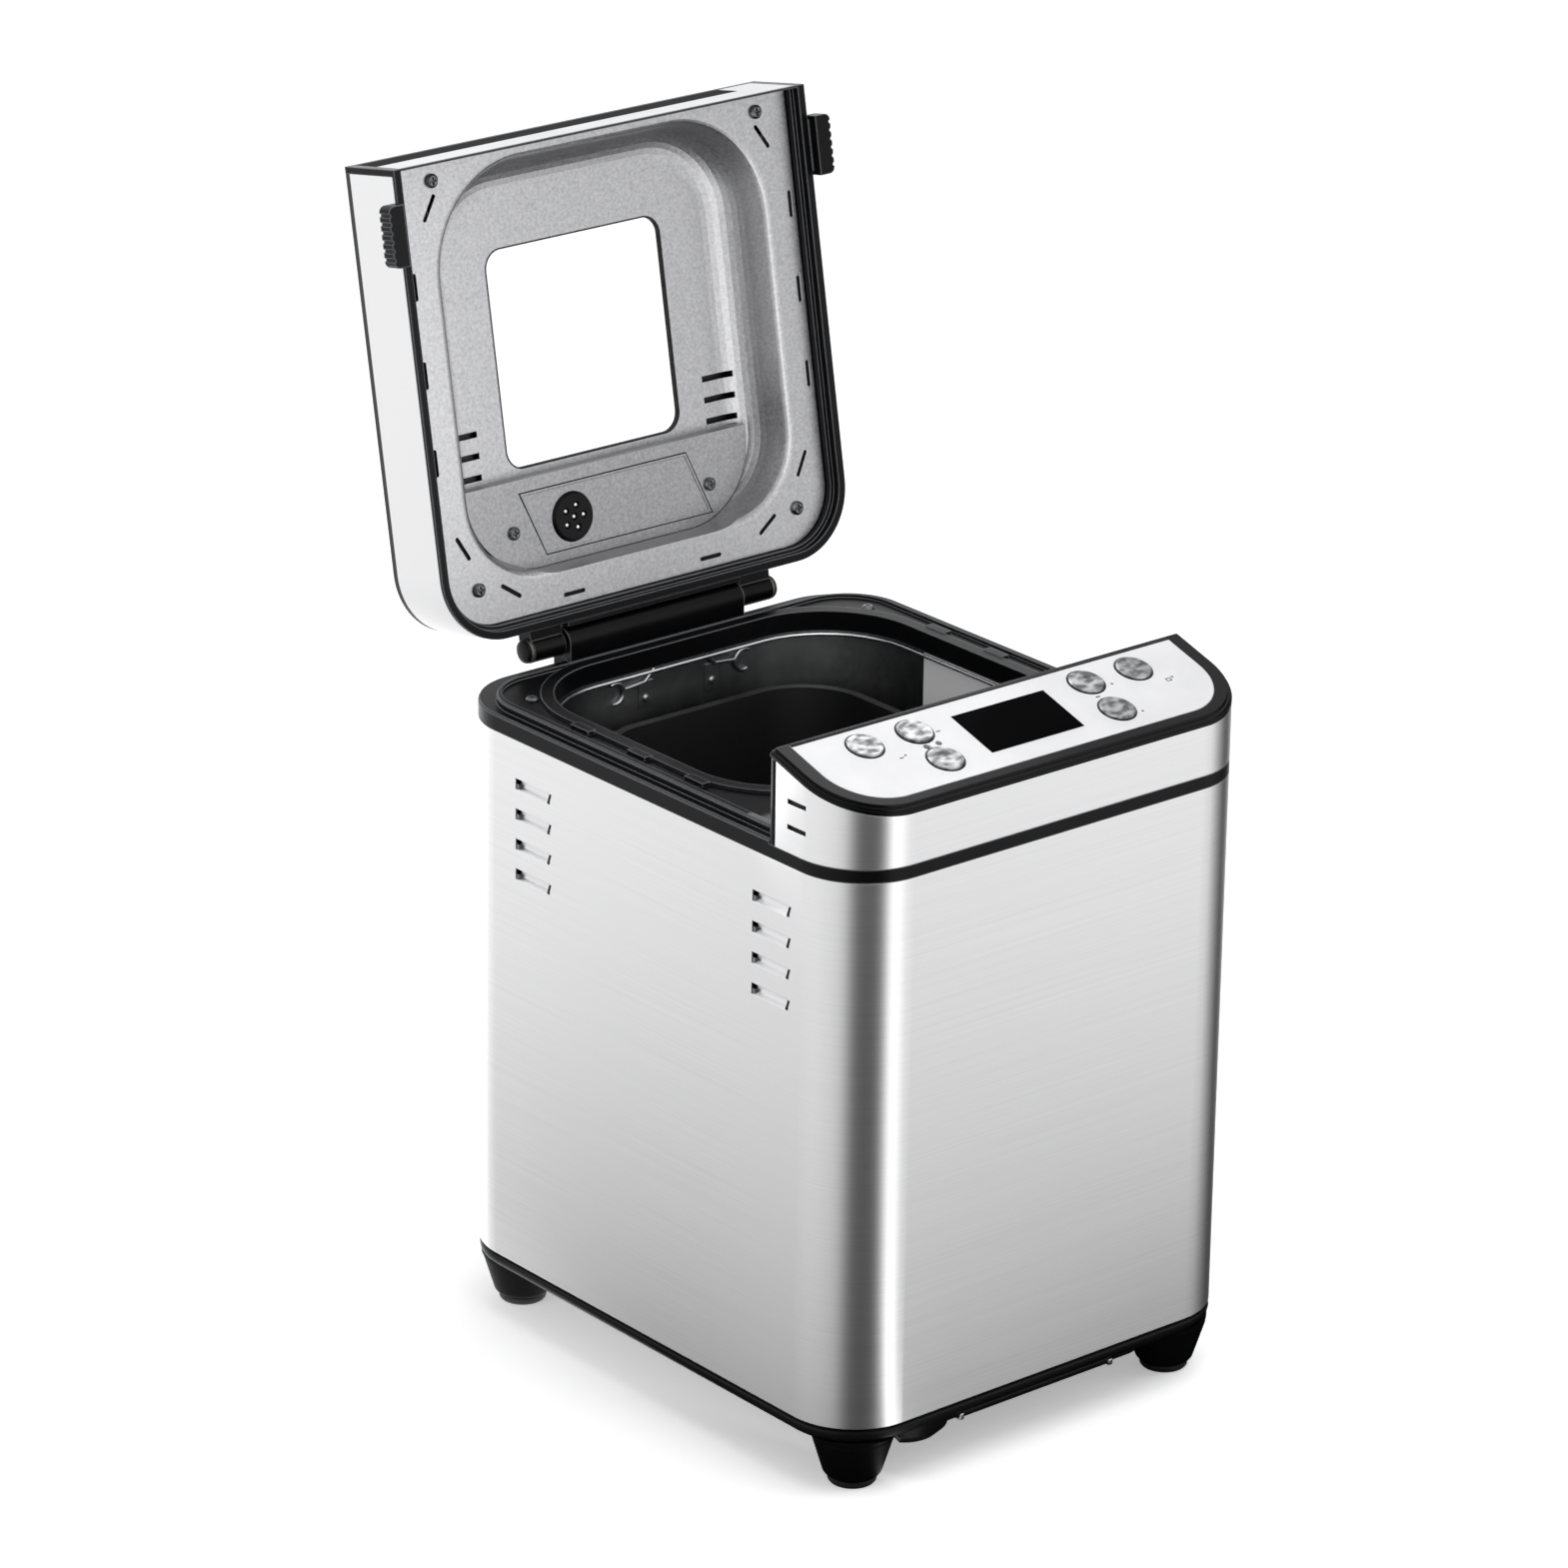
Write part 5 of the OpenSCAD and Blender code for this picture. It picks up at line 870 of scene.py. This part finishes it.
# %% [markdown]
# ## A light tent round the machine
#
# Polished sheet shows what stands round it. Such machines are lit in a white tent with
# a few dark flags, which draw the dark and bright bands down the rounded corners.
# Many lamps and boards could stand here. One tent does it: a disc just above the floor
# and a round wall, with a ramp that goes once round them and says how bright each
# direction is. Only reflections see it, so it changes no colour and casts no shadow.

# %% Brightness round the tent
BRIGHTEST = 2.0
TENT_R = 1.6
# Degrees from the machine's front, to its right, and the brightness there
TENT = [(-180, 1.9), (-170, 1.7), (-158, 1.25), (-146, 1.2), (-110, 1.2), (-80, 1.1),
        (-66, 0.95), (-56, 0.42), (-46, 0.08), (-18, 0.04), (-9, 0.1), (-2, 0.9), (4, 1.8),
        (20, 1.7), (29, 1.28), (56, 1.28), (63, 0.85), (70, 0.54), (76, 0.34), (82, 0.16),
        (88, 0.05), (95, 0.05), (107, 0.45), (120, 1.1), (180, 1.9)]


def glowing(name):
    """A material that only gives light; returns it, its node tree and its output's socket."""
    made = bpy.data.materials.new(name)
    made.use_nodes = True
    tree = made.node_tree
    tree.nodes.remove(tree.nodes["Principled BSDF"])
    return made, tree, tree.nodes["Material Output"].inputs["Surface"]


tent_centre = Vector((wrap_low.x + CORNER, wrap_low.y + CORNER, 0.0))
tent_material, tree, surface = glowing("tent_cloth")
place = add_node(tree, "TexCoord").outputs["Object"]
# The radial gradient runs from 0 to 1 anticlockwise from -X, and the second mapping turns
# it so that it starts behind the machine
centred = add_node(tree, "Mapping", {"Vector": place, "Location": -tent_centre}).outputs["Vector"]
swung = add_node(tree, "Mapping", {"Vector": centred, "Rotation": (0, 0, math.radians(90))})
around = add_node(tree, "TexGradient", {"Vector": swung.outputs["Vector"]}, gradient_type="RADIAL")
ramp = add_node(tree, "ValToRGB", {"Fac": around.outputs["Fac"]})
stops = ramp.color_ramp.elements
stops.remove(stops[1])
for index, (azimuth, level) in enumerate(TENT):
    position = (azimuth + 180) / 360
    stop = stops[0] if index == 0 else stops.new(position)
    stop.position = position
    stop.color = (level / BRIGHTEST, level / BRIGHTEST, level / BRIGHTEST, 1)
print("directions round the tent:", len(stops))

# %% [markdown]
# ### The floor of the tent
#
# Close to the machine its own shadow lies on the floor, and the lower part of the steel
# mirrors that darker ground. So the disc is dim beside the machine's walls and reaches
# full strength half a metre away. The distance is worked out from the walls: the part
# of each coordinate that lies beyond the body's half width or depth, measured together.
# Front and back count a little less than the sides. Where the tent is at its brightest,
# its light reaches the floor right beside the machine.

# %% The floor of the tent
SHADE_REACH = 0.53               # m from the walls to the disc's full strength
SHADE_LEVEL = 0.03
DEPTH_COUNTS = 0.75
STRIP_FROM, STRIP_FULL = 1.35, 1.75    # the tent's brightness where its light comes closer
DISC_LIFT = 0.0003               # m over the floor
middle = (wrap_low + wrap_high) / 2
half = (wrap_high - wrap_low) / 2
offset = add_node(tree, "Mapping", {"Vector": place, "Location": (-middle.x, -middle.y, 0)})
for operation, other in (("ABSOLUTE", (0, 0, 0)), ("SUBTRACT", (half.x, half.y, 0)),
                         ("MULTIPLY", (1.0, DEPTH_COUNTS, 0.0)), ("MAXIMUM", (0, 0, 0))):
    inputs = {0: offset.outputs["Vector"], 1: other}
    offset = add_node(tree, "VectorMath", inputs, operation=operation)
distance = add_node(tree, "VectorMath", {0: offset.outputs["Vector"]}, operation="LENGTH")
near = add_node(tree, "MapRange", {"Value": distance.outputs["Value"], "From Max": SHADE_REACH,
                                   "To Min": SHADE_LEVEL, "To Max": 1.0}).outputs["Result"]
inputs = {"Value": ramp.outputs["Color"], "From Min": STRIP_FROM / BRIGHTEST,
          "From Max": STRIP_FULL / BRIGHTEST, "To Min": near}
strip = add_node(tree, "MapRange", inputs).outputs["Result"]
strength = add_node(tree, "Math", {0: strip, 1: BRIGHTEST}, operation="MULTIPLY").outputs[0]
glow = add_node(tree, "Emission", {"Color": ramp.outputs["Color"], "Strength": strength})
tree.links.new(glow.outputs["Emission"], surface)

mesh = bmesh.new()
bmesh.ops.create_circle(mesh, cap_ends=True, segments=96, radius=TENT_R)
raised = bmesh.ops.extrude_edge_only(mesh, edges=list(mesh.edges))["geom"]
rim = [vert for vert in raised if isinstance(vert, bmesh.types.BMVert)]
bmesh.ops.translate(mesh, verts=rim, vec=(0, 0, TENT_R))
bmesh.ops.translate(mesh, verts=mesh.verts, vec=tent_centre + Vector((0, 0, DISC_LIFT)))
tent = placed("light_tent", mesh, tent_material)
print("light tent: radius and height", TENT_R, "m")

# %% [markdown]
# ## White cards over the panel
#
# The open lid looks down on the control panel, and the curved foot of its dish needs
# something bright to mirror there. Two upright cards side by side stand between them,
# the left one brighter, and are hidden from everything but reflections, as the tent is.

# %% White cards
CARD_DEPTH = 74               # mm behind the body's front
CARD_LOW, CARD_HIGH = 288, 515


def card(name, left, right, level):
    """An upright card across the machine, from left to right in millimetres."""
    made, tree, surface = glowing(name)
    tree.links.new(add_node(tree, "Emission", {"Strength": level}).outputs["Emission"], surface)
    y = FRONT + CARD_DEPTH * MM
    corners = ((left, CARD_LOW), (right, CARD_LOW), (right, CARD_HIGH), (left, CARD_HIGH))
    mesh = bmesh.new()
    mesh.faces.new([mesh.verts.new((x * MM, y, z * MM)) for x, z in corners])
    return placed(name, mesh, made)


cards = [card("card_bright", -140, 45, 2.4), card("card_plain", 45, 110, 1.6)]
for piece in [tent] + cards:
    for ray in ("camera", "diffuse", "shadow", "transmission", "volume_scatter"):
        setattr(piece, "visible_" + ray, False)
print("cards:", [piece.name for piece in cards])

# %% [markdown]
# ## Lamps
#
# Three large area lamps give the soft light of a studio: one over the machine and one
# on each side, the right one a little stronger. Reflections don't see them, because
# the tent already says what the steel mirrors.

# %% Lamps
def lamp(name, place, aim, size, power):
    """A rectangular area lamp at a place, turned to what it aims at; metres and watts."""
    data = bpy.data.lights.new(name, "AREA")
    data.shape = "RECTANGLE"
    data.size, data.size_y = size
    data.energy = power
    made = bpy.data.objects.new(name, data)
    made.location = place
    made.rotation_euler = (Vector(aim) - Vector(place)).to_track_quat("-Z", "Y").to_euler()
    bpy.context.scene.collection.objects.link(made)
    made.visible_glossy = False
    print(name + ":", power, "W")


lamp("lamp_top", (0.2, -0.6, 2.6), (0, 0, 0.2), (2.0, 2.0), 30)
lamp("lamp_left", (-2.4, -0.4, 1.2), (0, 0, 0.3), (1.2, 2.0), 12)
lamp("lamp_right", (2.2, -1.6, 1.3), (0, 0, 0.25), (1.2, 1.8), 14)

# %% [markdown]
# ## Camera
#
# The camera looks down on the machine's front left corner from almost three metres,
# through a long lens, so that upright edges stay nearly parallel. It is turned, raised
# and rolled about the point that it aims at.

# %% Camera
CAMERA_TURN, CAMERA_RISE, CAMERA_ROLL = -40.014, 21.313, 0.794
CAMERA_DISTANCE = 2890.28 * MM
turn, rise, roll = (math.radians(angle) for angle in (CAMERA_TURN, CAMERA_RISE, CAMERA_ROLL))
back = Vector((math.sin(turn) * math.cos(rise), -math.cos(turn) * math.cos(rise), math.sin(rise)))
right = Vector((math.cos(turn), math.sin(turn), 0.0))
up = back.cross(right)
across = right * math.cos(roll) + up * math.sin(roll)
upward = up * math.cos(roll) - right * math.sin(roll)
aim = Vector((-36.385, -35.240, 264.819)) * MM
camera_data = bpy.data.cameras.new("camera")
camera_data.lens = 157.73
camera_data.sensor_width = 36.0
camera_data.clip_end = 50.0
camera = bpy.data.objects.new("camera", camera_data)
stand = Matrix.Translation(aim + back * CAMERA_DISTANCE)
camera.matrix_world = stand @ Matrix((across, upward, back)).transposed().to_4x4()
bpy.context.scene.collection.objects.link(camera)
bpy.context.scene.camera = camera
print("camera at", [round(v, 3) for v in camera.matrix_world.translation])

# %% [markdown]
#
# The Standard view shows a colour as it is written.

bpy.context.scene.view_settings.view_transform = "Standard"
